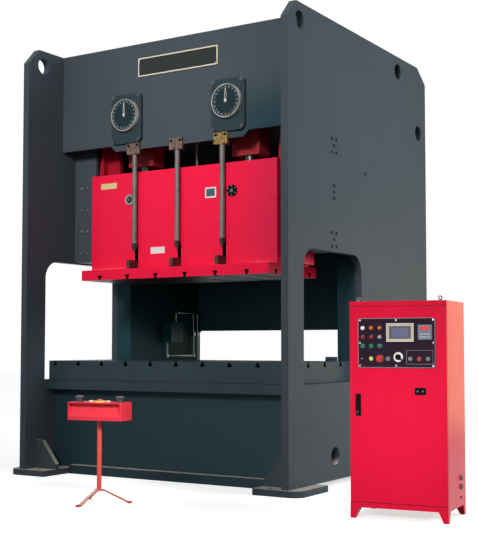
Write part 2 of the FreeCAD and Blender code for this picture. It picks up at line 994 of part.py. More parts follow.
def slide_plate():
    """The T-slotted plate under the slide, wider than the slide at front and rear."""
    body = new_body("slidePlate")
    deep = size.slidePlateDeep / 2
    outline = new_sketch(body, "XY_Plane", lift=slidePlateLow)
    draw_box(outline, -slideHalf, slideHalf, workY - deep, workY + deep)
    pad(body, outline, size.slidePlateThick)
    tee_slots(body, slidePlateLow, -1, [
        ("XZ_Plane", as_size(0), size.slidePitch, 6),
        ("YZ_Plane", workY, size.crossPitch, 3),
    ])
    return keep(body, "slide_plate")


slide_body()
slide_plate()

# ---------------------------------------------------------------- rams, housings, cylinders


def turned(name, corners, x=0, y=0, z=0):
    """A piece turned about an upright axis from its half outline."""
    body = new_body(name)
    profile = new_sketch(body, "XZ_Plane")
    draw_loop(profile, corners)
    spin(body, profile)
    place(body, x, y, z)
    return body


def ram_set(word, turn):
    """A ram on the slide, the cylinder in the crown that it runs in, and the housing that hangs below."""
    ramRadius = size.ramWide / 2
    ram = turned("ram" + word, [
        (0, 0),
        (size.ramFootWide / 2, 0),
        (size.ramFootWide / 2, size.ramFootHigh),
        (ramRadius, size.ramFootHigh),
        (ramRadius, ramLong),
        (0, ramLong),
    ], turn * size.ramSpread, workY, slideTop)
    keep(ram, "ram_" + word)
    bore = ramRadius + size.runningGap
    outer = size.cylinderWide / 2
    cylinder = turned("cylinder" + word, [
        (bore, 0),
        (outer, 0),
        (outer, cylinderHigh),
        (0, cylinderHigh),
        (0, cylinderHigh - size.cylinderTop),
        (bore, cylinderHigh - size.cylinderTop),
    ], turn * size.ramSpread, workY, cylinderLow)
    keep(cylinder, "cylinder_" + word)
    housing = new_body("housing" + word)
    outline = new_sketch(housing, "XY_Plane")
    halfWide = size.housingWide / 2
    halfDeep = size.housingDeep / 2
    draw_box(outline, -halfWide, halfWide, -halfDeep, halfDeep)
    draw_circle(outline, 0, 0, size.ramWide + 2 * size.passGap)
    pad(housing, outline, size.housingHigh)
    place(housing, turn * size.ramSpread, workY, crownFloor - size.housingHigh)
    keep(housing, "rod_housing_" + word)


ram_set("left", -1)
ram_set("right", 1)

strokeRod = rod("strokeRod", size.strokeRodWide, 0, workY, slideTop, cylinderLow + size.stroke)
keep(strokeRod, "stroke_rod")

# ---------------------------------------------------------------- stroke dials


def dial(word, turn):
    """A plate with cut corners that carries a round dial, and the pointer in front of its face."""
    body = new_body("dial" + word)
    half = size.dialPlateWide / 2
    outline = new_sketch(body, "XZ_Plane")
    draw_box(outline, -half, half, -size.dialPlateBelow, size.dialPlateAbove)
    pad(body, outline, size.dialPlateThick)
    ease_edges(body, size.dialPlateCut, lambda edge: runs_along(edge, "y"), "Chamfer")
    drum = new_sketch(body, "XZ_Plane", lift=size.dialPlateThick)
    draw_circle(drum, 0, 0, size.dialDrumWide)
    pad(body, drum, size.dialDrumOut)
    place(body, turn * size.dialSpread, crownFront, dialMiddle)
    keep(body, "dial_" + word)
    hand = new_body("pointer" + word)
    hub = new_sketch(hand, "XZ_Plane")
    draw_circle(hub, 0, 0, size.pointerHub)
    pad(hand, hub, size.pointerThick * 2)
    blade = new_sketch(hand, "XZ_Plane")
    draw_loop(blade, [
        (-size.pointerFoot / 2, -size.pointerTail),
        (size.pointerFoot / 2, -size.pointerTail),
        (size.pointerTip / 2, size.pointerLong),
        (-size.pointerTip / 2, size.pointerLong),
    ])
    pad(hand, blade, size.pointerThick)
    faceOut = size.dialPlateThick + size.dialDrumOut + size.restGap
    place(hand, turn * size.dialSpread, crownFront - faceOut, dialMiddle)
    keep(hand, "pointer_" + word)


dialMiddle = size.pressHeight - size.dialCentreDrop
dial("left", -1)
dial("right", 1)

# ---------------------------------------------------------------- knock-out

rodY = crownFront + size.knockRodBack
rodLow = slideLow + size.knockRodUp
bracketLow = lipLow - size.bracketDrop


def knockout_bracket(turn):
    """A block on the crown's front, hooked under its lip, that one knock-out rod hangs from."""
    body = new_body("knockBracket")
    half = size.bracketWide / 2
    outline = new_sketch(body, "XZ_Plane")
    draw_box(outline, -half, half, 0, size.bracketHigh)
    pad(body, outline, size.bracketOut)
    neck = new_sketch(body, "XZ_Plane", lift=-size.crownFace)
    draw_box(neck, -size.bracketNeck / 2, size.bracketNeck / 2, 0, size.bracketDrop)
    pad(body, neck, size.crownFace + size.bracketOut)
    place(body, turn * size.knockPitch, crownFront, bracketLow)
    return body


def knockout_rod(turn):
    """A fixed rod that stops the knock-out bar when the slide goes up, with a nut above its tip."""
    across = turn * size.knockPitch
    tipTop = rodLow + size.knockTipHigh
    tip = rod("knockTip", size.knockTipWide, across, rodY, rodLow, tipTop)
    nut = prism("knockNut", size.knockNutWide, size.knockNutHigh, across, rodY, tipTop)
    shaft = rod("knockShaft", size.knockRodWide, across, rodY, tipTop + size.knockNutHigh, bracketLow)
    return join("knockRod", [tip, nut, shaft])


def knockout_bar(word, turn):
    """A flat bar that lifts in the slide's slot and stands out of it at both ends."""
    body = new_body("knockBar" + word)
    core = new_sketch(body, "XZ_Plane")
    draw_box(core, -size.barWide / 2, size.barWide / 2, 0, size.barHigh)
    pad(body, core, size.slideDeep + size.barAhead * 2, both=True)
    ease_edges(body, size.barEdge, lambda edge: (
        runs_along(edge, "x") and is_at(middle_of(edge).z, 0)), "Chamfer")
    place(body, turn * size.knockPitch, workY, slideLow + size.restGap)
    keep(body, "knockout_bar_" + word)


sides = (("left", -1), ("middle", 0), ("right", 1))
keep(group("knockBrackets", [knockout_bracket(turn) for word, turn in sides]), "knockout_brackets")
keep(group("knockRods", [knockout_rod(turn) for word, turn in sides]), "knockout_rods")
for word, turn in sides:
    knockout_bar(word, turn)

# ---------------------------------------------------------------- valve box and pipes

wallX = -columnInner
valveY = (size.valveBoxAt - size.valveBoxDeep / 2, size.valveBoxAt + size.valveBoxDeep / 2)
valveZ = (size.valveBoxLow, size.valveBoxLow + size.valveBoxHigh)
valveBox = block("valveBlock", (wallX, wallX + size.valveBoxWide), valveY, valveZ)
keep(valveBox, "valve_box")

pipeX = wallX + size.pipeOff


def elbow(y, z):
    """A forged square fitting where a pipe turns."""
    half = size.elbowWide / 2
    return block("elbow", (pipeX - half, pipeX + half), (y - half, y + half), (z - half, z + half))


def saddle(y, z):
    """A clamp block that holds a pipe off the column."""
    half = size.saddleWide / 2
    length = size.saddleLong / 2
    return block("saddle", (wallX, pipeX + half), (y - half, y + half), (z - length, z + length))


def pipes():
    """Steel pipes that leave the valve box, turn behind it and end in the rear wall."""
    route = [
        (size.pipeFront, size.valveBoxLow),
        (size.pipeFront, size.pipeLow),
        (size.pipeBack, size.pipeLow),
        (size.pipeBack, size.pipeTop),
        (size.pipeThinFront, size.pipeTop),
        (size.pipeThinFront, size.valveBoxLow + size.valveBoxHigh),
    ]
    drain = [
        (size.pipeBack, size.pipeTop),
        (size.pipeReturn, size.pipeTop),
        (size.pipeReturn, size.pipeEnd),
        (size.rearWallBack, size.pipeEnd),
    ]
    members = []
    for path in (route, drain):
        for (startY, startZ), (endY, endZ) in zip(path, path[1:]):
            along = startY is endY
            low, high = (startZ, endZ) if along else (startY, endY)
            if low.value > high.value:
                low, high = high, low
            if along:
                members.append(rod("pipe", size.pipeWide, pipeX, startY, low, high))
            else:
                members.append(rod("pipe", size.pipeWide, pipeX, startZ, low, high, axis="Y"))
        members += [elbow(y, z) for y, z in path[1:-1]]
    middle = (size.pipeLow + size.pipeTop) / 2
    members.append(saddle(size.pipeBack, middle))
    members.append(saddle(size.pipeReturn, middle))
    return join("pipes", members)


keep(pipes(), "hydraulic_pipes")

# ---------------------------------------------------------------- control cabinet


def on_base(piece, base, x, y, z):
    """Put a piece at its place on the turned cabinet or console."""
    cornerX, cornerY, turn = base
    place(piece,
          cornerX + x * cosine(turn) - y * sine(turn),
          cornerY + x * sine(turn) + y * cosine(turn),
          z, turn)
    return piece


cabinet = (size.cabinetX, -size.cabinetAhead, size.cabinetTurn)
bodyFront = size.doorThick + size.doorGap
capLow = size.cabinetHigh - size.capHigh


def cabinet_body():
    """A hollow steel housing, open behind the door, on a plinth cut out between its feet."""
    body = new_body("cabinetShell")
    profile = new_sketch(body, "YZ_Plane")
    draw_loop(profile, [
        (0, 0),
        (size.cabinetDeep, 0),
        (size.cabinetDeep, size.cabinetHigh),
        (0, size.cabinetHigh),
        (0, capLow),
        (bodyFront, capLow),
        (bodyFront, size.plinthHigh),
        (0, size.plinthHigh),
    ])
    pad(body, profile, size.cabinetWide)
    wall = size.cabinetWall
    inside = new_sketch(body, "XZ_Plane", lift=-bodyFront)
    draw_box(inside, wall, size.cabinetWide - wall, size.plinthHigh + wall, capLow - wall)
    cut(body, inside, size.cabinetDeep - bodyFront - wall)
    footEnd = size.plinthFoot + size.plinthSlant
    for role, length in (("XZ_Plane", size.cabinetWide), ("YZ_Plane", size.cabinetDeep)):
        arch = new_sketch(body, role)
        draw_loop(arch, [
            (size.plinthFoot, 0),
            (length - size.plinthFoot, 0),
            (length - footEnd, size.plinthArch),
            (footEnd, size.plinthArch),
        ])
        cut(body, arch)
    on_base(body, cabinet, 0, 0, 0)
    return keep(body, "cabinet_body")


def cabinet_door():
    """A door as large as the front, folded from sheet into a shallow pan and hinged at its right edge."""
    body = new_body("doorLeaf")
    outline = new_sketch(body, "XZ_Plane", lift=-size.doorThick)
    left = size.doorMargin
    right = size.cabinetWide - size.doorMargin
    low = size.plinthHigh + size.doorGap
    high = capLow - size.doorGap
    draw_box(outline, left, right, low, high)
    pad(body, outline, size.doorThick)
    ease_edges(body, size.doorEdge, lambda edge: (
        is_at(middle_of(edge).y, 0) and not runs_along(edge, "y")))
    hollow = new_sketch(body, "XZ_Plane", lift=-size.doorSheet)
    sheet = size.doorSheet
    draw_box(hollow, left + sheet, right - sheet, low + sheet, high - sheet)
    cut(body, hollow, size.doorThick - size.doorSheet)
    on_base(body, cabinet, 0, 0, 0)
    return keep(body, "cabinet_door")


def lifting_eye(x):
    """A flat forged ring on a square foot."""
    body = new_body("liftingEye")
    foot = new_sketch(body, "XY_Plane")
    draw_box(foot, -size.eyeBarWide, size.eyeBarWide, -size.eyeBarWide, size.eyeBarWide)
    pad(body, foot, size.eyeBarWide)
    ring = new_sketch(body, "XZ_Plane")
    ringUp = size.eyeRingWide / 2 + size.eyeBarWide / 2
    draw_circle(ring, 0, ringUp, size.eyeRingWide)
    draw_circle(ring, 0, ringUp, size.eyeRingWide - 2 * size.eyeBarWide)
    pad(body, ring, size.eyeBarWide, both=True)
    return on_base(body, cabinet, x, size.eyeBack, size.cabinetHigh)


def gland(step):
    """A six-sided cable entry on the cabinet's right side."""
    nut = prism("glandNut", size.glandWide, size.glandOut, 0, 0, 0, facing=(1, 0, 0))
    return on_base(group("gland", [nut]), cabinet, size.cabinetWide, size.glandBack,
                   size.glandUp + step * size.glandPitch)


cabinet_body()
cabinet_door()
keep(group("liftingEyes", [lifting_eye(x) for x in (size.eyeIn, size.cabinetWide - size.eyeIn)]),
     "lifting_eyes")
keep(group("glands", [gland(step) for step in (0, 1)]), "cable_glands")

# ---------------------------------------------------------------- control panel

panelRight = size.panelLeft + size.panelWide
panelTop = size.panelLow + size.panelHigh
columns = [size.firstColumn + step * size.columnPitch for step in range(3)]
groups = [size.groupFirst + step * size.groupPitch for step in range(3)]
buttonPockets = [(x, size.greenRow) for x in columns]
buttonPockets += [(x, size.lowRow) for x in groups]
buttonPockets.append((columns[1], size.lowRow))


def control_panel():
    """A rounded plate with lamp caps and pockets for its controls."""
    body = new_body("panelPlate")
    outline = new_sketch(body, "XZ_Plane")
    draw_box(outline, size.panelLeft, panelRight, size.panelLow, panelTop)
    pad(body, outline, size.panelThick)
    ease_edges(body, size.panelRound, lambda edge: runs_along(edge, "y"))
    pockets = new_sketch(body, "XZ_Plane", lift=size.panelThick)
    for x, z in buttonPockets:
        draw_circle(pockets, x, z, size.buttonWide + 2 * size.restGap)
    draw_circle(pockets, columns[2], size.lowRow, size.stopNeckWide + 2 * size.restGap)
    cut(body, pockets, size.pocketDeep)
    lamps = new_sketch(body, "XZ_Plane", lift=size.panelThick)
    for x in columns:
        for z in (size.topRow, size.midRow):
            draw_circle(lamps, x, z, size.lampWide)
    pad(body, lamps, size.lampOut)
    on_base(body, cabinet, 0, 0, 0)
    return keep(body, "control_panel")


def round_cap(name, drums, facing=(0, 0, 1)):
    """A control as a stack of drums: each has its width, and its start and end out from the seat.

    The drums have many flat sides, so that a mesh of so many small round parts stays light.
    """
    members = []
    for wide, start, end in drums:
        x, y, z = [start * way for way in facing]
        members.append(prism(name + "Drum", wide, end - start, x, y, z, facing, size.capSides))
    return members


def on_panel(name, members, label, x, z, out=0):
    """Join a control's members, put them on the turned door and keep them."""
    whole = join(name, members) if len(members) > 1 else group(name, members)
    on_base(whole, cabinet, x, -out, z)
    return keep(whole, label)


outward = (0, -1, 0)
pocketFloor = size.panelThick - size.pocketDeep
buttonBack = pocketFloor + size.pressTravel + size.restGap


def push_button(label, x, z):
    """A flat round cap that slides in its pocket in the panel."""
    drums = [(size.buttonWide, buttonBack, size.panelThick + size.buttonOut)]
    on_panel("button", round_cap("button", drums, outward), label, x, z)


def stop_drums(back, seat, travel):
    """A mushroom button: its neck from the pocket, then its wide head clear of the seat."""
    under = seat + travel + size.restGap
    return [
        (size.stopNeckWide, back, under),
        (size.stopHeadWide, under, under + size.stopHeadHigh),
    ]


def plate_with_window(label, left, low, wide, high, edge):
    """A shallow housing on the panel with a glass set back in its front."""
    body = new_body("screen")
    outline = new_sketch(body, "XZ_Plane")
    draw_box(outline, 0, wide, 0, high)
    pad(body, outline, size.screenOut)
    glass = new_sketch(body, "XZ_Plane", lift=size.screenOut)
    draw_box(glass, edge, wide - edge, edge, high - edge)
    cut(body, glass, size.glassDeep)
    on_base(body, cabinet, left, -size.panelThick, low)
    return keep(body, label)


def rotary_knob(label, wide, x, z):
    """A round knob with a bar across it to turn it by."""
    skirt = round_cap("knob", [(wide, as_size(0), size.knobOut / 2)], outward)
    half = size.gripThick / 2
    reach = wide / 2 - half
    grip = block("grip", (-half, half), (-size.knobOut, as_size(0)), (-reach, reach))
    on_panel("knob", skirt + [grip], label, x, z, out=size.panelThick + size.restGap)


control_panel()
plate_with_window("touch_screen", size.screenLeft, size.screenLow,
                  size.screenWide, size.screenHigh, size.screenEdge)
plate_with_window("counter", size.counterLeft, size.counterLow,
                  size.counterWide, size.counterHigh, size.screenEdge)
words = ("left", "middle", "right")
for word, x in zip(words, columns):
    push_button("green_button_" + word, x, size.greenRow)
push_button("yellow_button", columns[1], size.lowRow)
for word, x in zip(words, groups):
    push_button("group_button_" + word, x, size.lowRow)
rotary_knob("grey_knob", size.knobWide, size.knobAt, size.lowRow)
rotary_knob("mode_selector", size.selectorWide, size.selectorAt, size.selectorUp)
on_panel("cabinetStop",
         round_cap("cabinetStop", stop_drums(buttonBack, size.panelThick, size.pressTravel), outward),
         "cabinet_stop", columns[2], size.lowRow)

toggle = new_body("toggle")
outline = new_sketch(toggle, "YZ_Plane")
toggleHalf = size.toggleThick / 2
draw_loop(outline, [
    (as_size(0), as_size(0)),
    (-toggleHalf, toggleHalf),
    (-size.toggleLong, toggleHalf),
    (-size.toggleLong, -toggleHalf),
    (-toggleHalf, -toggleHalf),
])
pad(toggle, outline, size.toggleWide, both=True)
on_base(toggle, cabinet, columns[0], -(size.panelThick + size.restGap), size.lowRow)
keep(toggle, "toggle_switch")

handle = new_body("handle")
outline = new_sketch(handle, "YZ_Plane")
handleSeat = -size.restGap
handleFoot = size.handleHigh - size.handlePivot * 2
draw_loop(outline, [
    (handleSeat, size.handleHigh),
    (handleSeat, handleFoot),
    (handleSeat - size.handleOut / 2, handleFoot - size.handlePivot / 2),
    (handleSeat - size.handleOut / 2, 0),
    (handleSeat - size.handleOut, 0),
    (handleSeat - size.handleOut, size.handleHigh),
])
pad(handle, outline, size.handleWide, both=True)
ease_edges(handle, size.handleOut / 4, lambda edge: (
    runs_along(edge, "z") and is_at(middle_of(edge).y, handleSeat - size.handleOut)), "Chamfer")
on_base(handle, cabinet, size.handleAt, 0, size.handleLow)
keep(handle, "door_handle")

# ---------------------------------------------------------------- two-hand console

console = (size.consoleX, -size.consoleAhead, size.consoleTurn)
consoleTop = size.consoleLow + size.consoleHigh


def console_box():
    """A box with a sloping notch along its front and pockets for its buttons."""
    body = new_body("consoleCase")
    half = size.consoleWide / 2
    deep = size.consoleDeep / 2
    outline = new_sketch(body, "XY_Plane")
    draw_box(outline, -half, half, -deep, deep)
    pad(body, outline, size.consoleHigh)
    ease_edges(body, size.consoleRound, lambda edge: runs_along(edge, "z"))
    notch = new_sketch(body, "YZ_Plane", lift=half - size.cheekThick)
    notchTop = size.consoleHigh - size.lipHigh
    draw_loop(notch, [
        (-deep, size.sillHigh),
        (size.notchDeep - deep, notchTop - size.shadeHigh),
        (size.notchDeep - deep, notchTop),
        (-deep, notchTop),
    ])
    cut(body, notch, size.consoleWide - 2 * size.cheekThick)
    pockets = new_sketch(body, "XY_Plane", lift=size.consoleHigh)
    for turn in (-1, 1):
        draw_circle(pockets, turn * size.palmSpread, 0, size.palmNeckWide + 2 * size.restGap)
        draw_circle(pockets, turn * size.smallSpread, 0, size.smallWide + 2 * size.restGap)
    draw_circle(pockets, 0, 0, size.stopNeckWide + 2 * size.restGap)
    cut(body, pockets, size.consolePocket)
    on_base(body, console, 0, 0, size.consoleLow)
    return keep(body, "console_box")


def console_stand():
    """A round post on a thin hub, with three flat sloping legs that end in foot pads."""
    body = new_body("consoleStand")
    post = new_sketch(body, "XY_Plane", lift=size.legHubLow)
    draw_circle(post, 0, 0, size.postWide)
    pad(body, post, size.consoleLow - size.legHubLow)
    hub = new_sketch(body, "XY_Plane", lift=size.legHubLow)
    draw_circle(hub, 0, 0, size.legHubWide)
    pad(body, hub, size.legHubHigh)
    leg = new_sketch(body, "XZ_Plane")
    tipIn = size.legReach - size.legTipLong
    draw_loop(leg, [
        (0, size.legHubLow),
        (size.legHubWide / 2, size.legHubLow),
        (tipIn, size.legTipHigh - size.legHubHigh),
        (tipIn, 0),
        (size.legReach, 0),
        (size.legReach, size.legTipHigh),
        (tipIn, size.legTipHigh),
        (size.legHubWide / 2, size.legHubLow + size.legHubHigh),
        (0, size.legHubLow + size.legHubHigh),
    ])
    limb = pad(body, leg, size.legWide, both=True)
    legs = body.newObject("PartDesign::PolarPattern", "consoleLegs")
    legs.Originals = [limb]
    legs.Axis = (post, ["N_Axis"])
    legs.Angle = 360
    legs.Occurrences = 3
    body.Tip = legs
    doc.recompute()
    cornerX, cornerY, turn = console
    place(body, cornerX, cornerY, 0, size.legTurn)
    return keep(body, "console_stand")


def on_console(label, drums, x):
    """A control that slides down into its pocket in the console's top."""
    members = round_cap(label, drums)
    whole = join("consoleButton", members) if len(members) > 1 else group("consoleButton", members)
    on_base(whole, console, x, 0, consoleTop)
    return keep(whole, label)


console_box()
console_stand()
consoleBack = size.consoleTravel + size.restGap - size.consolePocket
for word, turn in (("left", -1), ("right", 1)):
    palm = [
        (size.palmNeckWide, consoleBack, size.palmNeckHigh),
        (size.palmWide, size.palmNeckHigh, size.palmOut),
    ]
    on_console("palm_button_" + word, palm, turn * size.palmSpread)
    small = [(size.smallWide, consoleBack, size.smallOut)]
    on_console("console_button_" + word, small, turn * size.smallSpread)
on_console("console_stop", stop_drums(consoleBack, as_size(0), size.consoleTravel), as_size(0))

# ---------------------------------------------------------------- test and write

doc.recompute()
for thing in doc.Objects:
    if {"Invalid", "Error"} & set(thing.State):
        raise RuntimeError(thing.Label + " failed: " + str(thing.State))
for piece in pieces:
    if piece.Shape.isNull() or not piece.Shape.isValid():
        raise RuntimeError(piece.Label + " has no valid shape")
os.makedirs("parts", exist_ok=True)
for piece in pieces:
    piece.Shape.exportStep("parts/" + piece.Label + ".step")
    print(piece.Label, len(piece.Shape.Solids), round(piece.Shape.Volume / 1e6, 3))
print(len(pieces), "pieces")
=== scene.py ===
import json
import math

import bmesh
import bpy
from mathutils import Matrix, Vector

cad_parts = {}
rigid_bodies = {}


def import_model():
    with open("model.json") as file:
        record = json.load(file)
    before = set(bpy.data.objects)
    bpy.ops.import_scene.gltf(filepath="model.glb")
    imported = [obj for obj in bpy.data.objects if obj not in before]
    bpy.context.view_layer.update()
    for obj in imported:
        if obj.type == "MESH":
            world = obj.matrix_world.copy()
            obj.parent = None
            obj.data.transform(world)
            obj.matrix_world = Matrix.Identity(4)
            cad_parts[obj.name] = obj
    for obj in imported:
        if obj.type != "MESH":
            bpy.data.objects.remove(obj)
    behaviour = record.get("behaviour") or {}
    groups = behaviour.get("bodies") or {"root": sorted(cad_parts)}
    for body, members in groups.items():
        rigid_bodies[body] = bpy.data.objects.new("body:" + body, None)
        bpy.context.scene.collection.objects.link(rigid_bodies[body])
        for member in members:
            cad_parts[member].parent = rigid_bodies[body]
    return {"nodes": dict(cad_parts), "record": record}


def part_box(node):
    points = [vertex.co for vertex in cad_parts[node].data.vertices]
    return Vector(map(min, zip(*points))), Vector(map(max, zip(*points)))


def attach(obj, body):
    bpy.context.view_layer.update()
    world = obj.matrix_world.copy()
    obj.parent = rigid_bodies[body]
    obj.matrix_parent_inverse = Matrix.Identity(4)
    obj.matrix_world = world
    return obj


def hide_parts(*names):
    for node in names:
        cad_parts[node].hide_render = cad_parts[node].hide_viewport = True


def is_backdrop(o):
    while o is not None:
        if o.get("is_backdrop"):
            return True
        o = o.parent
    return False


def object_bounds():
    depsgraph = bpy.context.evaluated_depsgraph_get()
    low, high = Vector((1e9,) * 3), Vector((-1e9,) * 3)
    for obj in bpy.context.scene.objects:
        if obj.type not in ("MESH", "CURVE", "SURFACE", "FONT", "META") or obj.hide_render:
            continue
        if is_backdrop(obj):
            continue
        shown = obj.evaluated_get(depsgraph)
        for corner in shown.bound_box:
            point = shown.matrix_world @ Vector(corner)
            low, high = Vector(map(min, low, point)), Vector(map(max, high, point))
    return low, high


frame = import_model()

# Looks of a straight-side hydraulic press with its control cabinet and two-hand console.
# Metres, in the press's own frame: floor level at z 0, +X to the right, +Y to the rear.
# A piece on a wall is made in the wall's own frame: across, up, and out towards the viewer.

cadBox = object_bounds()
nodes = frame["nodes"]
slotOf = {part["node"]: part["material_slot"] for part in frame["record"]["subparts"]}
bodyOf = {name: node.parent.name.removeprefix("body:") for name, node in nodes.items()}


# Node trees

def operator(operation, swapped=False):
    # The method of Value that stands for one of Python's operators.
    def method(self, other):
        pair = (other, self) if swapped else (self, other)
        return self.graph.maths(operation, *pair)
    return method


class Value:
    # One socket of a tree, so that maths on sockets reads as plain expressions.

    def __init__(self, graph, socket):
        self.graph = graph
        self.socket = socket

    __add__ = __radd__ = operator("ADD")
    __sub__ = operator("SUBTRACT")
    __rsub__ = operator("SUBTRACT", swapped=True)
    __mul__ = __rmul__ = operator("MULTIPLY")
    __gt__ = operator("GREATER_THAN")
    __lt__ = operator("LESS_THAN")


class Graph:
    # A node tree of a material, of the world or of a pattern.

    def __init__(self, tree):
        self.tree = tree

    def node(self, kind, settings=None, inputs=None):
        # One node: its settings first, then what its inputs hold.
        node = self.tree.nodes.new(kind)
        for name, value in (settings or {}).items():
            setattr(node, name, value)
        for name, value in (inputs or {}).items():
            self.give(node.inputs[name], value)
        return node

    def give(self, socket, value):
        # A number, colour or material is set on the socket; a value, or each of a list, is linked.
        if isinstance(value, list):
            for source in value:
                self.give(socket, source)
        elif isinstance(value, Value):
            self.tree.links.new(value.socket, socket)
        else:
            socket.default_value = value

    def add(self, kind, settings=None, inputs=None, output=0):
        # A node of which one output is used.
        return Value(self, self.node(kind, settings, inputs).outputs[output])

    def maths(self, operation, first, second):
        return self.add("ShaderNodeMath", {"operation": operation}, {0: first, 1: second})

    def seen(self):
        # 1 for what the camera sees straight, in a mirror or through glass, and 0 for other light.
        share = self.add("ShaderNodeLightPath", output="Is Camera Ray")
        for ray in ("Is Glossy Ray", "Is Transmission Ray"):
            share = self.maths("MAXIMUM", share, self.add("ShaderNodeLightPath", output=ray))
        return share


class Paint(Graph):
    # A material. Its constants are the shader's own fixed values.

    def __init__(self, name, **constants):
        self.material = bpy.data.materials.new(name)
        self.material.use_nodes = True
        super().__init__(self.material.node_tree)
        self.shader = self.tree.nodes["Principled BSDF"]
        self.place = self.add("ShaderNodeTexCoord", output="Object")
        for socket, value in constants.items():
            self.shader.inputs[socket.replace("_", " ")].default_value = value

    def noise(self, scale, detail=2.0, stretch=(1, 1, 1)):
        # Smooth noise between about 0 and 1, finer along an axis where stretch is larger.
        spot = self.add("ShaderNodeVectorMath", {"operation": "MULTIPLY"}, {0: self.place, 1: stretch})
        return self.add("ShaderNodeTexNoise", {}, {"Vector": spot, "Scale": scale, "Detail": detail})

    def streaks(self, patches, runs):
        # Broad patches with finer runs down the walls.
        return self.noise(patches, 3) * 0.6 + self.noise(runs, 3, (1, 1, 0.12)) * 0.4

    def axis(self, letter):
        # How far along X, Y or Z the surface is, in metres.
        return self.add("ShaderNodeSeparateXYZ", {}, {0: self.place}, output=letter)

    def facing(self, letter):
        # How much the surface faces along X, Y or Z.
        normal = self.add("ShaderNodeNewGeometry", output="Normal")
        return self.add("ShaderNodeSeparateXYZ", {}, {0: normal}, output=letter)

    def fade(self, value, start, end):
        # 0 before start and 1 past end, smooth between them, in either direction.
        return self.add("ShaderNodeMapRange", {"interpolation_type": "SMOOTHSTEP"}, {
            "Value": value, "From Min": start, "From Max": end})

    def between(self, value, low, high):
        return (value > low) * (value < high)

    def mix(self, share, first, second):
        # A colour between two colours.
        return self.add("ShaderNodeMix", {"data_type": "RGBA"}, {
            0: share, 6: first, 7: second}, output=2)

    def feed(self, socket, value):
        self.give(self.shader.inputs[socket], value)

    def bump(self, height, strength, distance):
        self.feed("Normal", self.add("ShaderNodeBump", {}, {
            "Height": height, "Strength": strength, "Distance": distance}, output="Normal"))


def tone(*channels):
    # A colour given as 0 to 255 on screen, as linear red, green, blue and alpha.
    return (*[((channel / 255 + 0.055) / 1.055) ** 2.4 for channel in channels], 1.0)


def scaled(colour, share):
    return (*[channel * share for channel in colour[:3]], 1.0)


# Finishes, with colours as they are on screen and places in metres

# wander: how far the tone strays. peel: how uneven the coat is. index: of refraction, low where matt.
# the shade areas: painted shade, darker tones faded in from the first to the second place along an axis.
# the glint level: a lower edge, along which runs a painted highlight. dust: how much of the floor's dust
# lies on it.
framePaint = {"colour": (71, 79, 85), "rough": 0.42, "wander": 0.18, "peel": 0.08, "index": 1.13}
paints = {
    "frame_paint": framePaint,
    # Painted shade on the crown's lower right, cast there by the right side plate.
    "crown_paint": {**framePaint, "shades": [
        {"X": (0.2, 1.1), "Z": (4.1, 3.5), "colour": (26, 56, 64), "share": 0.8}]},
    # The bed's paint is a darker copy of the frame's, as painted shade low down, and darkens further to
    # the left.
    "bed_paint": {**framePaint, "colour": (56, 75, 82), "wander": 0.20, "shades": [
        {"X": (0.8, -1.4), "colour": (36, 58, 66), "share": 0.6}]},
    # The frame's inside is a darker teal than its outside, partly as painted shade.
    "frame_inside": {"colour": (40, 72, 78), "rough": 0.45, "wander": 0.24, "peel": 0.10,
                     "index": 1.12},
    "rear_paint": {"colour": (72, 108, 116), "rough": 0.48, "wander": 0.24, "peel": 0.10,
                   "index": 1.14},
    "red_paint": {"colour": (240, 24, 64), "rough": 0.24, "wander": 0.05, "peel": 0.015, "index": 1.16,
                  "dust": 0.1},
    # The slide darkens to the right and above its top as painted shade; a painted highlight runs along
    # its lower edge.
    "slide_paint": {"colour": (239, 26, 66), "rough": 0.28, "wander": 0.06, "peel": 0.03, "index": 1.20,
                    "shades": [{"X": (0.55, 1.2), "colour": (176, 40, 78), "share": 0.45},
                               {"Z": (3.157, 3.19), "colour": (120, 24, 34), "share": 0.75}],
                    "scuff": 2.131, "grease": True},
    # The housings' red is darkened as painted shade under the crown.
    "housing_paint": {"colour": (150, 48, 54), "rough": 0.40, "wander": 0.18, "peel": 0.06,
                      "index": 1.20},
    "console_paint": {"colour": (232, 58, 76), "rough": 0.28, "wander": 0.08, "peel": 0.02,
                      "index": 1.22},
    "stand_paint": {"colour": (222, 88, 78), "rough": 0.30, "wander": 0.12, "peel": 0.02,
                    "index": 1.25},
    "valve_paint": {"colour": (34, 84, 92), "rough": 0.40, "wander": 0.20, "peel": 0.10, "index": 1.2},
}
# face, up: the machined face's level and direction. pitch: of the T-slots that run to the rear.
# end shade: how dark the painted shade on the faces that look right is. seam: a dark joint between two
# levels.
tables = {
    "bolster_paint": {"colour": (56, 72, 78), "top": (62, 64, 66), "rough": 0.42, "pitch": 0.314,
                      "face": 1.18, "up": 1, "index": 1.18, "metal": 0.6, "ends": 0.0,
                      "seam": (0.9775, 0.9815)},
    # The slide plate's machined face looks down; its colour is darkened as painted shade.
    "slide_plate_paint": {"colour": (246, 26, 68), "top": (52, 42, 44), "rough": 0.36, "pitch": 0.363,
                          "face": 2.024, "up": -1, "index": 1.18, "metal": 0.1, "ends": 0.7},
}
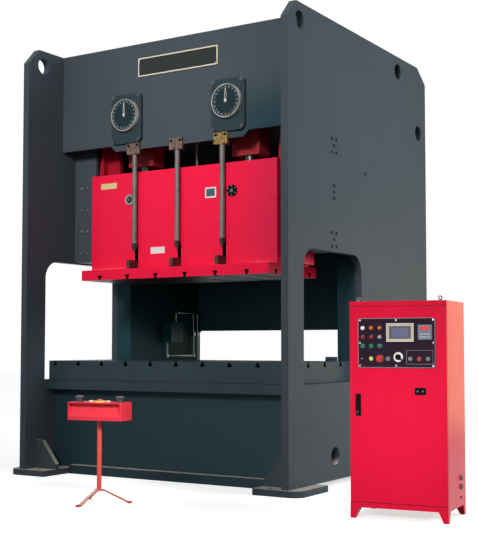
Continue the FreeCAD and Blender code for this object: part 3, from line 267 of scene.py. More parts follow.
# part: a stretch along an axis that has its own colour, on the rods painted shade. grain, deep: fineness
# and tone of the stains.
metals = {
    "dark_steel": {"colour": (74, 54, 50), "rough": 0.44, "metal": 0.5},
    # The rods are dark below the knock-out slots' top as painted shade, where they run into the slide.
    "rod_steel": {"colour": (112, 106, 104), "rough": 0.55, "metal": 0.2,
                  "part": {"along": "Z", "from": -1.0, "to": 2.402, "colour": (34, 26, 28)}},
    "bolt_black": {"colour": (46, 52, 58), "rough": 0.40, "metal": 0.6,
                   "part": {"along": "X", "from": -1.59, "to": 1.59, "colour": (168, 170, 176)}},
    "bolt_grey": {"colour": (96, 100, 106), "rough": 0.34, "metal": 0.8},
    "bolt_steel": {"colour": (150, 148, 146), "rough": 0.30, "metal": 0.85},
    "bronze": {"colour": (132, 110, 94), "rough": 0.42, "metal": 0.5, "grain": 55, "deep": 0.10,
               "part": {"along": "X", "from": 0.44, "to": 0.66, "colour": (164, 134, 78)}},
    "satin_steel": {"colour": (186, 180, 172), "rough": 0.42, "metal": 0.35},
    # The rams' steel is dark as painted shade in the gap under the housings.
    "ram_steel": {"colour": (70, 70, 72), "rough": 0.30, "metal": 1.0},
    "bright_steel": {"colour": (214, 208, 202), "rough": 0.24, "metal": 1.0},
    "pipe_steel": {"colour": (112, 120, 124), "rough": 0.30, "metal": 0.9},
}
plastics = {
    "dial_plate": {"colour": (46, 60, 66), "rough": 0.40, "index": 1.2},
    "dial_teal": {"colour": (26, 46, 52), "rough": 0.36, "index": 1.2},
    "tick_grey": {"colour": (186, 188, 186), "rough": 0.45},
    "pointer_white": {"colour": (226, 222, 216), "rough": 0.40},
    "plate_black": {"colour": (30, 34, 34), "rough": 0.32},
    "cream": {"colour": (222, 212, 190), "rough": 0.40},
    "label_cream": {"colour": (220, 200, 138), "rough": 0.45},
    "label_white": {"colour": (236, 228, 222), "rough": 0.45},
    "label_teal": {"colour": (58, 92, 108), "rough": 0.40},
    "panel_black": {"colour": (46, 32, 46), "rough": 0.40, "index": 1.12},
    "panel_line": {"colour": (150, 142, 158), "rough": 0.45},
    "screen_bezel": {"colour": (208, 200, 180), "rough": 0.40},
    "screen_dark": {"colour": (96, 94, 100), "rough": 0.30},
    "counter_grey": {"colour": (122, 134, 146), "rough": 0.40},
    "key_grey": {"colour": (176, 190, 204), "rough": 0.40},
    "handle_black": {"colour": (16, 14, 16), "rough": 0.32, "index": 1.15},
    "button_green": {"colour": (20, 158, 104), "rough": 0.28},
    "button_yellow": {"colour": (228, 226, 92), "rough": 0.30},
    "button_red": {"colour": (214, 52, 44), "rough": 0.28},
    "button_grey": {"colour": (128, 130, 136), "rough": 0.35},
    "button_black": {"colour": (40, 40, 44), "rough": 0.34},
    "palm_black": {"colour": (70, 74, 80), "rough": 0.36},
    "palm_worn": {"colour": (140, 142, 148), "rough": 0.40},
    "stop_orange": {"colour": (222, 96, 72), "rough": 0.30},
    "collar_red": {"colour": (140, 44, 62), "rough": 0.30},
    "lamp_orange": {"colour": (236, 112, 30), "rough": 0.20},
    "lamp_red": {"colour": (168, 36, 52), "rough": 0.20},
    "lamp_grey": {"colour": (176, 172, 190), "rough": 0.24},
    "gland_grey": {"colour": (124, 122, 124), "rough": 0.42},
    # Painted shade of the door's gaps.
    "seam_black": {"colour": (96, 14, 28), "rough": 0.60},
    "ring_white": {"colour": (250, 250, 248), "rough": 0.35},
    "stop_yellow": {"colour": (246, 198, 96), "rough": 0.40},
}
glows = {
    "screen_glow": {"colour": (106, 104, 146), "light": 0.32},
    "counter_glow": {"colour": (232, 52, 60), "light": 0.5},
    "lamp_white": {"colour": (255, 255, 252), "light": 0.7},
}
# Dust is dirt; the pale streak is a painted highlight; the darks are painted shade in slots and a seam's
# colour.
dustShadeAndGlint = {"dust": (212, 204, 196), "dustFull": 0.10, "dustEnd": 0.70, "scuff": (246, 150, 146),
         "scuffHigh": 0.05, "grease": (14, 11, 12), "shadeAndSeamBlack": (10, 12, 13)}
knockoutSlots = {"pitch": 0.547, "half": 0.0225, "top": 2.3805, "front": -1.0125, "rear": -0.3875}
tSlots = {"lip": -0.0005, "mouthHalf": 0.0146, "headHalf": 0.0254, "headTop": -0.0255, "floor": -0.0486,
          "rowPitch": 0.3350, "rowShift": 0.70, "rowFront": -1.2, "noRow": 5}


def painted(name, look):
    # Sprayed paint: slow wander of tone, faint runs, peel, dust by the floor, painted shade and a
    # painted highlight.
    paint = Paint(name, IOR=look["index"])
    colour = tone(*look["colour"])
    body = paint.mix(paint.streaks(1.1, 5), scaled(colour, 1 - look["wander"]),
                     scaled(colour, 1 + look["wander"] * 0.6))
    low = 1 - paint.fade(paint.axis("Z"), dustShadeAndGlint["dustFull"], dustShadeAndGlint["dustEnd"])
    flat = paint.fade(paint.facing("Z"), 0.2, 0.9)
    dust = low * flat * (0.55 + 0.45 * paint.noise(14, 4)) * look.get("dust", 1.0)
    # Painted shade: darker tones faded in over the given areas.
    for shadedArea in look.get("shades", ()):
        within = shadedArea["share"]
        for letter in "XYZ":
            if letter in shadedArea:
                within = within * paint.fade(paint.axis(letter), *shadedArea[letter])
        body = paint.mix(within, body, tone(*shadedArea["colour"]))
    # Painted highlight: pale streaks along the lower edge.
    if "scuff" in look:
        near = 1 - paint.fade(paint.axis("Z"), look["scuff"], look["scuff"] + dustShadeAndGlint["scuffHigh"])
        glinting = near * paint.fade(paint.noise(2.2, 3, (1, 1, 5)), 0.46, 0.62) * 0.5
        body = paint.mix(glinting, body, tone(*dustShadeAndGlint["scuff"]))
    # Painted shade inside the knock-out slots.
    if "grease" in look:
        body = paint.mix(knockoutShadeMask(paint), body, tone(*dustShadeAndGlint["grease"]))
    paint.feed("Base Color", paint.mix(dust, body, tone(*dustShadeAndGlint["dust"])))
    paint.feed("Roughness", look["rough"] + (paint.noise(6, 3) - 0.5) * 0.14 + dust * 0.3)
    paint.bump(paint.noise(90, 2), look["peel"], 0.002)
    return paint.material


def knockoutShadeMask(paint):
    # The inside of the knock-out slots, behind the slide's front, which takes painted shade.
    slots = knockoutSlots
    across = paint.maths("PINGPONG", paint.axis("X"), slots["pitch"] / 2)
    inside = paint.between(paint.axis("Y"), slots["front"], slots["rear"])
    return (across < slots["half"]) * (paint.axis("Z") < slots["top"]) * inside


def tSlotShadeMask(paint, look, above):
    # Where the inside of the T-slots lies, for its painted shade: they run to the rear at the table's
    # pitch and across in rows.
    slots = tSlots
    across = paint.maths("PINGPONG", paint.axis("X") + look["pitch"] / 2, look["pitch"] / 2)
    along = paint.maths("PINGPONG", paint.axis("Y") + slots["rowShift"], slots["rowPitch"] / 2)
    ahead = paint.axis("Y") < slots["rowFront"]         # in front of the first row none is near
    nearest = paint.maths("MINIMUM", across, along + slots["noRow"] * ahead)
    mouth = (nearest < slots["mouthHalf"]) * (above < slots["lip"]) * (above > slots["floor"])
    head = (nearest < slots["headHalf"]) * paint.between(above, slots["floor"], slots["headTop"])
    return paint.maths("MAXIMUM", mouth, head)


def slotted(name, look):
    # A painted table with a machined top, black inside its T-slots as painted shade.
    paint = Paint(name, IOR=look["index"])
    shadeAndSeam = tSlotShadeMask(paint, look, (paint.axis("Z") - look["face"]) * look["up"])
    if "seam" in look:
        shadeAndSeam = paint.maths("MAXIMUM", shadeAndSeam, paint.between(paint.axis("Z"), *look["seam"]))
    colour = tone(*look["colour"])
    body = paint.mix(paint.streaks(1.3, 6), scaled(colour, 0.78), scaled(colour, 1.15))
    # Painted shade on the faces that look to the right.
    body = paint.mix((paint.facing("X") > 0.5) * look["ends"], body, scaled(colour, 0.12))
    lines = paint.noise(60, 3, (1, 0.05, 1))
    machined = paint.mix(lines, scaled(tone(*look["top"]), 0.6), tone(*look["top"]))
    ground = paint.fade(paint.facing("Z") * look["up"], 0.8, 0.95)
    paint.feed("Base Color", paint.mix(shadeAndSeam, paint.mix(ground, body, machined), tone(*dustShadeAndGlint["shadeAndSeamBlack"])))
    paint.feed("Roughness", look["rough"] + (lines - 0.5) * 0.12 * ground + shadeAndSeam * 0.3)
    paint.feed("Metallic", ground * look["metal"] * (1 - shadeAndSeam))
    paint.bump(paint.noise(90, 2), 0.06, 0.002)
    return paint.material


def metallic(name, look):
    # Machined or drawn metal: fine lines of tool marks, and stains from a deep tone to a bright one.
    paint = Paint(name, Metallic=look["metal"])
    lines = paint.noise(220, 2, (1, 0.06, 0.06))
    stain = paint.fade(paint.noise(look.get("grain", 9), 4), 0.3, 0.7)

    def stained(colour):
        return paint.mix(stain, scaled(colour, look.get("deep", 0.65)), scaled(colour, 1.1))

    body = stained(tone(*look["colour"]))
    if "part" in look:
        part = look["part"]
        within = paint.between(paint.axis(part["along"]), part["from"], part["to"])
        body = paint.mix(within, body, stained(tone(*part["colour"])))
    paint.feed("Base Color", body)
    paint.feed("Roughness", look["rough"] + (stain - 0.5) * 0.22 + (lines - 0.5) * 0.10)
    paint.bump(lines, 0.06, 0.001)
    return paint.material


def moulded(name, look):
    # Plastic or enamel with a faint grain and uneven gloss.
    paint = Paint(name, IOR=look.get("index", 1.35))
    grain = paint.noise(420, 2)
    colour = tone(*look["colour"])
    paint.feed("Base Color", paint.mix(paint.noise(30, 2), scaled(colour, 0.84), colour))
    paint.feed("Roughness", look["rough"] + (grain - 0.5) * 0.16)
    paint.bump(grain, 0.05, 0.0005)
    return paint.material


def glowing(name, look):
    # A lit display or lens, a little cloudy.
    paint = Paint(name, Roughness=0.2, Emission_Strength=look["light"])
    colour = tone(*look["colour"])
    cloud = paint.noise(26, 2)
    paint.feed("Base Color", paint.mix(cloud, scaled(colour, 0.5), scaled(colour, 0.8)))
    paint.feed("Emission Color", paint.mix(cloud, scaled(colour, 0.7), colour))
    return paint.material


materials = {}
recipes = ((paints, painted), (tables, slotted), (metals, metallic), (plastics, moulded),
           (glows, glowing))
for looks, make in recipes:
    for name, look in looks.items():
        materials[name] = make(name, look)

# Nodes whose finish isn't the one that their slot names
finishOf = {
    "bolster": "bolster_paint", "bed_top_plate": "bolster_paint", "slide_plate": "slide_plate_paint",
    "slide_body": "slide_paint", "bed_box": "bed_paint", "crown_front_plate": "crown_paint",
    "rear_wall": "rear_paint", "toggle_switch": "bright_steel", "mode_selector": "handle_black",
    "console_stand": "stand_paint", "console_box": "console_paint", "console_stop": "stop_orange",
}
for word in ("left", "right"):
    finishOf.update({"ram_" + word: "ram_steel", "dial_" + word: "dial_plate",
                     "palm_button_" + word: "palm_black", "rod_housing_" + word: "housing_paint"})


def finishFor(name):
    return finishOf.get(name, slotOf[name])


for name, node in nodes.items():
    for slot in node.material_slots:
        slot.material = materials[finishFor(name)]
print("finishes are on the CAD nodes")


# Shapes

sink = 0.001        # how far a laid-on piece reaches into the surface that carries it
sharpFrom = 32      # edges steeper than this many degrees stay sharp
leastCorner = 0.0005


def placed(spot, turn):
    # The frame of a thing that stands at a spot, turned about the vertical.
    return Matrix.Translation(spot) @ Matrix.Rotation(math.radians(turn), 4, "Z")


def facing(x, y, z, turn=0):
    # A wall's own frame: across to the right, up, and out towards the front.
    return placed((x, y, z), turn) @ Matrix.Rotation(math.radians(90), 4, "X")


def loft(loops, closed=False):
    # A closed skin through loops of points; closed joins the last loop to the first.
    shape = bmesh.new()
    rings = [[shape.verts.new(point) for point in loop] for loop in loops]
    pairs = list(zip(rings, rings[1:]))
    if closed:
        pairs.append((rings[-1], rings[0]))
    for first, second in pairs:
        for index, corner in enumerate(first):
            following = (index + 1) % len(first)
            shape.faces.new((corner, first[following], second[following], second[index]))
    if not closed:
        shape.faces.new(rings[0][::-1])
        shape.faces.new(rings[-1])
    bmesh.ops.recalc_face_normals(shape, faces=shape.faces)
    return shape


def inset(size, edge):
    # The sides of a rectangle that lies this far inside another.
    return [side - 2 * edge for side in size]


def corners(size, corner, level, middle=(0.0, 0.0), steps=5):
    # One loop round a rectangle with rounded corners.
    width, height = size
    loop = []
    for quarter, (right, up) in enumerate(((1, 1), (-1, 1), (-1, -1), (1, -1))):
        centre = (middle[0] + right * (width / 2 - corner), middle[1] + up * (height / 2 - corner))
        for step in range(steps + 1):
            turn = math.radians(90 * (quarter + step / steps))
            loop.append((*spotOn(2 * corner, turn, centre), level))
    return loop


def spotOn(width, turn, middle=(0.0, 0.0)):
    # The point of a circle at this turn.
    return (middle[0] + width / 2 * math.cos(turn), middle[1] + width / 2 * math.sin(turn))


def circle(width, level, middle=(0.0, 0.0), sides=48):
    return [(*spotOn(width, 2 * math.pi * side / sides, middle), level) for side in range(sides)]


def plate(size, corner, high, edge, low=0.0, middle=(0.0, 0.0)):
    # A flat plate with rounded corners and a small chamfer round its face.
    return loft([corners(size, corner, low, middle), corners(size, corner, high - edge, middle),
                 corners(inset(size, edge), corner, high, middle)])


def border(size, corner, line, low, high, middle=(0.0, 0.0)):
    # A raised line round a rectangle.
    outer, inner = (size, corner), (inset(size, line), max(corner - line, leastCorner))
    return loft([corners(*outer, low, middle), corners(*outer, high, middle),
                 corners(*inner, high, middle), corners(*inner, low, middle)], closed=True)


def turned(profile, middle=(0.0, 0.0), closed=False, sides=48):
    # A turned shape: widths and levels along its profile.
    return loft([circle(width, level, middle, sides) for width, level in profile], closed)


def collar(bore, width, levels, middle=(0.0, 0.0), taper=0.0, sides=48):
    # A ring round a button, with the levels of its foot, its outer edge and its bore's edge.
    foot, edge, crest = levels
    profile = [(bore, foot), (width, foot), (width - taper, edge), (bore, crest)]
    return turned(profile, middle, closed=True, sides=sides)


def linked(name, data):
    # An object of the scene that shows this mesh, light or camera.
    thing = bpy.data.objects.new(name, data)
    bpy.context.scene.collection.objects.link(thing)
    return thing


def settle(name, shapes, place, finish, body, slot):
    # One piece from its shapes, put in its place and tied to a body.
    joined = bmesh.new()
    for shape in shapes:
        spare = bpy.data.meshes.new("spare")
        shape.to_mesh(spare)
        shape.free()
        joined.from_mesh(spare)
        bpy.data.meshes.remove(spare)
    mesh = bpy.data.meshes.new(name)
    joined.to_mesh(mesh)
    joined.free()
    mesh.materials.append(materials[finish])
    return fix(name, mesh, place, body, slot)


def fix(name, mesh, place, body, slot):
    mesh.transform(place)
    mesh.shade_smooth()
    mesh.set_sharp_from_angle(angle=math.radians(sharpFrom))
    piece = linked(name, mesh)
    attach(piece, body)
    return piece


# Patterns

class Pattern(Graph):
    # A Geometry Nodes tree that sets shapes at points, with its sizes as named inputs.

    def __init__(self, name, lengths, counts):
        super().__init__(bpy.data.node_groups.new(name, "GeometryNodeTree"))
        self.face("Places", "INPUT", "Geometry")
        sizes = {**dict.fromkeys(lengths, "Float"), **dict.fromkeys(counts, "Int"), "Finish": "Material"}
        self.keys = {size: self.face(size, "INPUT", kind) for size, kind in sizes.items()}
        self.face("Pieces", "OUTPUT", "Geometry")
        given = self.node("NodeGroupInput").outputs
        self.given = {size: Value(self, given[size]) for size in ("Places", *sizes)}

    def face(self, name, side, kind):
        # A named input or output of the tree, and the identifier that its modifier knows it by.
        return self.tree.interface.new_socket(
            name, in_out=side, socket_type="NodeSocket" + kind).identifier

    def cylinder(self, sides, width, height, level):
        # An upright cylinder with its middle at this level.
        shape = self.add("GeometryNodeMeshCylinder", {}, {
            "Vertices": sides, "Radius": width * 0.5, "Depth": height})
        offset = self.add("ShaderNodeCombineXYZ", {}, {"Z": level})
        return self.add("GeometryNodeTransform", {}, {"Geometry": shape, "Translation": offset})

    def finish(self, shapes):
        real = self.add("GeometryNodeRealizeInstances", {}, {0: shapes})
        dressed = self.add("GeometryNodeSetMaterial", {}, {
            "Geometry": real, "Material": self.given["Finish"]})
        self.node("NodeGroupOutput", {}, {0: dressed})

    def make(self, name, points, sizes):
        # The pattern's plain mesh for these points and sizes.
        mesh = bpy.data.meshes.new(name)
        mesh.from_pydata(points, [], [])
        holder = linked(name, mesh)
        modifier = holder.modifiers.new("pattern", "NODES")
        modifier.node_group = self.tree
        for size, value in sizes.items():
            modifier[self.keys[size]] = value
        ready = holder.evaluated_get(bpy.context.evaluated_depsgraph_get())
        made = bpy.data.meshes.new_from_object(ready)
        holder.modifiers.remove(modifier)
        bpy.data.objects.remove(holder)
        return made


def screwPattern():
    # A head on a washer, with a socket sunk in it, turned at random.
    pattern = Pattern("screws", (
        "Head Width", "Head High", "Washer Width", "Washer High", "Socket Width", "Socket Deep"), (
        "Head Sides", "Seed"))
    size = pattern.given
    head = pattern.cylinder(size["Head Sides"], size["Head Width"], size["Head High"],
                            size["Washer High"] + size["Head High"] * 0.5)
    socket = pattern.cylinder(6, size["Socket Width"], size["Socket Deep"] * 2.0,
                              size["Washer High"] + size["Head High"])
    washer = pattern.cylinder(24, size["Washer Width"], size["Washer High"], size["Washer High"] * 0.5)
    cut = pattern.add("GeometryNodeMeshBoolean", {"operation": "DIFFERENCE"}, {
        "Mesh 1": head, "Mesh 2": socket})
    screw = pattern.add("GeometryNodeJoinGeometry", {}, {0: [cut, washer]})
    angle = pattern.add("FunctionNodeRandomValue", {"data_type": "FLOAT"}, {
        2: 0.0, 3: math.pi, "Seed": size["Seed"]}, output=1)
    turn = pattern.add("ShaderNodeCombineXYZ", {}, {"Z": angle})
    pattern.finish(pattern.add("GeometryNodeInstanceOnPoints", {}, {
        "Points": size["Places"], "Instance": screw, "Rotation": turn}))
    return pattern


def tickPattern():
    # Straight ticks round a dial, each pointing at its middle.
    pattern = Pattern("ticks", ("Ring Width", "Tick Long", "Tick Wide", "Tick High"), ("Count",))
    size = pattern.given
    ring = pattern.add("GeometryNodeMeshCircle", {}, {
        "Vertices": size["Count"], "Radius": size["Ring Width"] * 0.5})
    block = pattern.add("ShaderNodeCombineXYZ", {}, {
        "X": size["Tick Long"], "Y": size["Tick Wide"], "Z": size["Tick High"]})
    tick = pattern.add("GeometryNodeMeshCube", {}, {"Size": block})
    outwards = pattern.add("GeometryNodeInputPosition")
    turn = pattern.add("FunctionNodeAlignRotationToVector", {"axis": "X"}, {"Vector": outwards})
    row = pattern.add("GeometryNodeInstanceOnPoints", {}, {
        "Points": ring, "Instance": tick, "Rotation": turn})
    pattern.finish(pattern.add("GeometryNodeInstanceOnPoints", {}, {
        "Points": size["Places"], "Instance": row}))
    return pattern


screws = screwPattern()
ticks = tickPattern()
screwSeed = 3
plateScrew = {"Head High": 0.003, "Head Sides": 20, "Washer High": 0.0005, "Socket Width": 0.005,
              "Socket Deep": 0.0015}
dialBolt = {"Head High": 0.016, "Head Sides": 28, "Washer High": 0.003, "Socket Deep": 0.009}
screwKinds = {
    "nameplate": {**plateScrew, "Head Width": 0.011, "Washer Width": 0.011},
    "panel": {**plateScrew, "Head Width": 0.012, "Washer Width": 0.014},
    "dial_top": {**dialBolt, "Head Width": 0.036, "Washer Width": 0.046, "Socket Width": 0.0198},
    "dial_low": {**dialBolt, "Head Width": 0.030, "Washer Width": 0.040, "Socket Width": 0.0165},
    "bracket": {"Head Width": 0.026, "Head High": 0.007, "Head Sides": 24, "Washer Width": 0.028,
                "Washer High": 0.0006, "Socket Width": 0.014, "Socket Deep": 0.005},
    "slide_cap": {"Head Width": 0.009, "Head High": 0.003, "Head Sides": 16, "Washer Width": 0.010,
                  "Washer High": 0.0004, "Socket Width": 0.0045, "Socket Deep": 0.002},
}


def fasten(name, points, place, body, kind, finish):
    sizes = {**screwKinds[kind], "Seed": screwSeed, "Finish": materials[finish]}
    fix(name, screws.make(name, points, sizes), place, body, "bolt_black")


# Press

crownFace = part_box("crown_front_plate")[0][1]
slideFace = -1.013          # the slide's plain front, behind the bosses of its caps
nameplate = {"level": 4.2455, "lineIn": 0.004, "screwIn": 0.026,
             "plate": {"size": (1.006, 0.205), "corner": 0.012, "high": 0.005, "edge": 0.001},
             "line": {"corner": 0.0084, "line": 0.013, "low": 0.004, "high": 0.0065}}


def makeNameplate():
    # A bare black plate with a cream border.
    look, base = nameplate, nameplate["plate"]
    place = facing(0, crownFace, look["level"])
    settle("nameplate", [plate(**base)], place, "plate_black", "root", "dial_black")
    line = border(inset(base["size"], look["lineIn"]), **look["line"])
    settle("nameplate_border", [line], place, "cream", "root", "pointer_white")
    across, up = (side / 2 - look["screwIn"] for side in base["size"])
    spots = [(side * across, row * up, base["high"]) for side in (-1, 1) for row in (-1, 1)]
    fasten("nameplate_screws", spots, place, "root", "nameplate", "bright_steel")


dial = {"spread": 0.635, "middle": 3.750, "width": 0.330, "out": 0.070, "plateOut": 0.030,
        "play": 0.001, "ringOver": 0.008, "ringUnder": 0.016, "ringHigh": 0.0055,
        "crestOver": 0.002, "crestUnder": 0.010, "faceUnder": 0.015, "faceHigh": 0.0006,
        "tickOut": 0.0009, "boltAcross": 0.165, "boltRows": {"top": 0.200, "low": -0.263}}
dialTicks = {
    "major": {"Count": 20, "Ring Width": 0.272, "Tick Long": 0.022, "Tick Wide": 0.0042},
    "minor": {"Count": 100, "Ring Width": 0.284, "Tick Long": 0.008, "Tick Wide": 0.0014},
}
tickHigh = 0.0012


def makeDial(word, side):
    # A bright ring round the drum's dark face, two rows of ticks and four bolts.
    look = dial
    place = facing(side * look["spread"], crownFace, look["middle"])
    wide, out, base, play = look["width"], look["out"], look["plateOut"], look["play"]
    outer, inner, top = wide + look["ringOver"], wide - look["ringUnder"], out + look["ringHigh"]
    ring = [(wide + play, base), (outer, base), (outer, out), (wide + look["crestOver"], top),
            (wide - look["crestUnder"], top), (inner, out + play / 2), (inner, out - sink),
            (wide + play, out - sink)]
    settle("dial_ring_" + word, [turned(ring, closed=True, sides=96)], place, "satin_steel", "root",
           "chrome")
    face = [(wide - look["faceUnder"], out - sink), (wide - look["faceUnder"], out + look["faceHigh"])]
    settle("dial_face_" + word, [turned(face, sides=96)], place, "dial_teal", "root", "dial_black")
    for kind, sizes in dialTicks.items():
        name = "dial_ticks_" + kind + "_" + word
        mesh = ticks.make(name, [(0, 0, out + look["tickOut"])], {
            **sizes, "Tick High": tickHigh, "Finish": materials["tick_grey"]})
        fix(name, mesh, place, "root", "pointer_white")
    for row, up in look["boltRows"].items():
        spots = [(across * look["boltAcross"], up, base) for across in (-1, 1)]
        fasten("dial_bolts_" + row + "_" + word, spots, place, "root", "dial_" + row, "bolt_grey")


pointer = {"tip": 0.125, "tail": 0.024, "half": 0.0115, "bar": 0.0034, "belly": 0.030,
           "shoulder": 0.075, "footShare": 0.7, "footDown": 0.4, "shoulderShare": 0.8,
           "tipHalf": 0.003, "slotHalf": 0.0008, "slotFoot": 2.2, "slotTip": 2.6,
           "hub": 0.028, "hubTop": 0.7, "low": 0.0706, "high": 0.0750, "hubHigh": 0.0798}


def pointerLine(shrink, foot, tip, tipHalf):
    # A line round the pointer: the tail's end, its right side up to the tip, and its mirror image.
    look = pointer
    half = look["half"]
    right = [(half * look["footShare"] - shrink, -look["tail"] * look["footDown"]),
             (half - shrink, look["belly"]), (half * look["shoulderShare"] - shrink, look["shoulder"]),
             (tipHalf, tip)]
    return [(0, foot), *right, *((-across, up) for across, up in reversed(right))]


def makePointer(word, side):
    # A pointer cut out in the middle, so that two thin arms meet at its tip.
    look = pointer
    place = facing(side * dial["spread"], crownFace, dial["middle"])
    low, high, bar, hub = look["low"], look["high"], look["bar"], look["hub"]
    outer = pointerLine(0, -look["tail"], look["tip"], look["tipHalf"])
    inner = pointerLine(bar, -look["tail"] + look["slotFoot"] * bar,
                        look["tip"] - look["slotTip"] * bar, look["slotHalf"])
    arms = loft([[(*spot, level) for spot in line] for line, level in (
        (outer, low), (outer, high), (inner, high), (inner, low))], closed=True)
    knob = turned([(hub, low), (hub, high + sink), (hub * look["hubTop"], look["hubHigh"])], sides=40)
    name = "pointer_" + word
    piece = settle("pointer_loop_" + word, [arms, knob], place, "pointer_white", bodyOf[name],
                   "pointer_white")
    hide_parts(name)


brackets = {"level": 3.426, "out": 0.027, "screwAcross": 0.054}


def makeBracketScrews():
    # Two screws in each of the three brackets that hold the knock-out rods.
    look = brackets
    spots = [(slot * knockoutSlots["pitch"] + side * look["screwAcross"], 0, look["out"])
             for slot in (-1, 0, 1) for side in (-1, 1)]
    place = facing(0, crownFace, look["level"])
    fasten("bracket_screws", spots, place, "root", "bracket", "handle_black")


labels = {
    "slide_plate_cream": {"middle": (-0.923, 3.035), "size": (0.212, 0.062), "finish": "label_cream"},
    "slide_plate_white": {"middle": (-0.274, 2.321), "size": (0.180, 0.068), "finish": "label_white"},
    "slide_plate_square": {"middle": (0.3825, 2.8705), "size": (0.133, 0.107), "finish": "label_white",
                           "centreIn": 0.015},
}
labelPlate = {"corner": 0.006, "high": 0.0022, "edge": 0.0006}
labelCentre = {"corner": 0.004, "low": 0.001, "high": 0.0030, "edge": 0.0004}


def makeLabels():
    # Bare plates on the slide's front, the square one with a teal middle.
    for name, look in labels.items():
        across, up = look["middle"]
        place = facing(across, slideFace, up)
        settle(name, [plate(look["size"], **labelPlate)], place, look["finish"], "slide",
               "pointer_white")
        if "centreIn" in look:
            centre = plate(inset(look["size"], look["centreIn"]), **labelCentre)
            settle("slide_plate_centre", [centre], place, "label_teal", "slide", "dial_black")


slideCap = {"spread": 0.640, "level": 2.870, "out": 0.010, "width": 0.115, "rim": 0.004,
            "lip": 0.62, "bore": 0.58, "floor": 0.585, "floorHigh": 0.001, "hexagon": 0.34,
            "hexagonHigh": 0.008, "screwRing": 0.82, "screwCount": 6, "screwStart": 30,
            "finish": {"left": "bolt_steel", "right": "handle_black"}}


def makeSlideCaps():
    # Round caps on the slide: a flange with screws, a dark floor and a hexagon in the middle.
    look = slideCap
    wide, out, rim = look["width"], look["out"], look["rim"]
    top, floor, bore = out + rim, out + look["floorHigh"], wide * look["bore"]
    for word, side in (("left", -1), ("right", 1)):
        place = facing(side * look["spread"], slideFace, look["level"])
        flange = [(wide + rim, 0), (wide + rim, out), (wide - rim, top), (wide * look["lip"], top),
                  (bore, floor), (bore, 0)]
        settle("slide_cap_flange_" + word, [turned(flange, closed=True)], place, look["finish"][word],
               "slide", "dial_black")
        disc = turned([(wide * look["floor"], level) for level in (out - sink, floor)])
        settle("slide_cap_floor_" + word, [disc], place, "handle_black", "slide", "dial_black")
        hexagon = loft([circle(wide * look["hexagon"], level, sides=6)
                        for level in (out, out + look["hexagonHigh"])])
        settle("slide_cap_hexagon_" + word, [hexagon], place, "bolt_grey", "slide", "pipe_steel")
        turns = [math.radians(360 * step / look["screwCount"] + look["screwStart"])
                 for step in range(look["screwCount"])]
        spots = [(*spotOn(wide * look["screwRing"], turn), top) for turn in turns]
        fasten("slide_cap_screws_" + word, spots, place, "slide", "slide_cap", "bolt_black")


makeNameplate()
for word, side in (("left", -1), ("right", 1)):
    makeDial(word, side)
    makePointer(word, side)
makeBracketScrews()
makeLabels()
makeSlideCaps()
print("plates, dials and screws are on the press")


# Cabinet, in the frame of its door's lower left corner

cabinet = {"corner": (2.560, -2.295, 0.0), "turn": 7, "width": 0.775}
cabinetFront = facing(*cabinet["corner"], cabinet["turn"])
cabinetSide = placed(cabinet["corner"], cabinet["turn"]) @ facing(cabinet["width"], 0, 0, 90)
columns = {"left": 0.114, "middle": 0.183, "right": 0.252}              # of lamps and buttons
groupColumns = {"left": 0.495, "middle": 0.5645, "right": 0.634}        # of the framed buttons
rows = {"upperLamps": 1.474, "lowerLamps": 1.404, "green": 1.335, "low": 1.236}
panelOut = 0.014
onPanel = {"low": panelOut - sink, "high": panelOut + 0.0008}
panelBorder = {"middle": (0.382, 1.3585), "size": (0.616, 0.383), "corner": 0.020, "line": 0.0045}
groupFrame = {"middle": (0.5675, 1.2485), "size": (0.209, 0.107), "corner": 0.004, "line": 0.0028}
panelScrewIn = 0.016
selector = {"middle": (0.399, 1.249), "width": 0.076, "bore": 0.0455, "arc": (-28, 306), "steps": 40,
            "high": 0.0015}


def onDoor(name, shapes, finish, slot):
    settle(name, shapes, cabinetFront, finish, "door", slot)


def makePanel():
    # The panel's border and screws, the frame round three buttons, the selector's open ring.
    onDoor("panel_border", [border(**panelBorder, **onPanel)], "panel_line", "panel_black")
    x, z = panelBorder["middle"]
    across, up = (side / 2 - panelScrewIn for side in panelBorder["size"])
    spots = [(x + column * across, z + row * up, panelOut)
             for column in (-1, 0, 1) for row in (-1, 0, 1) if column or row]
    fasten("panel_screws", spots, cabinetFront, "door", "panel", "bright_steel")
    onDoor("group_frame", [border(**groupFrame, **onPanel)], "panel_line", "panel_black")
    start, end = selector["arc"]
    turns = [math.radians(start + (end - start) * step / selector["steps"])
             for step in range(selector["steps"] + 1)]
    arc = [spotOn(selector["width"], turn, selector["middle"]) for turn in turns]
    arc += [spotOn(selector["bore"], turn, selector["middle"]) for turn in reversed(turns)]
    ring = loft([[(*spot, level) for spot in arc]
                 for level in (panelOut - sink, panelOut + selector["high"])])
    onDoor("selector_ring", [ring], "ring_white", "pointer_white")


lamps = {"width": 0.0306, "out": 0.028, "bevel": 0.004, "sides": 32,
         "dome": ((0.86, 0.0), (0.5, 0.0022), (0.12, 0.003)),
         "upperLamps": ("lamp_white", "lamp_orange", "lamp_orange"),
         "lowerLamps": ("lamp_red", "lamp_red", "lamp_grey")}
collarLevels = (panelOut - sink, panelOut + 0.003, panelOut + 0.004)
lampCollar = {"bore": 0.0316, "width": 0.0356, "levels": collarLevels, "sides": 32}


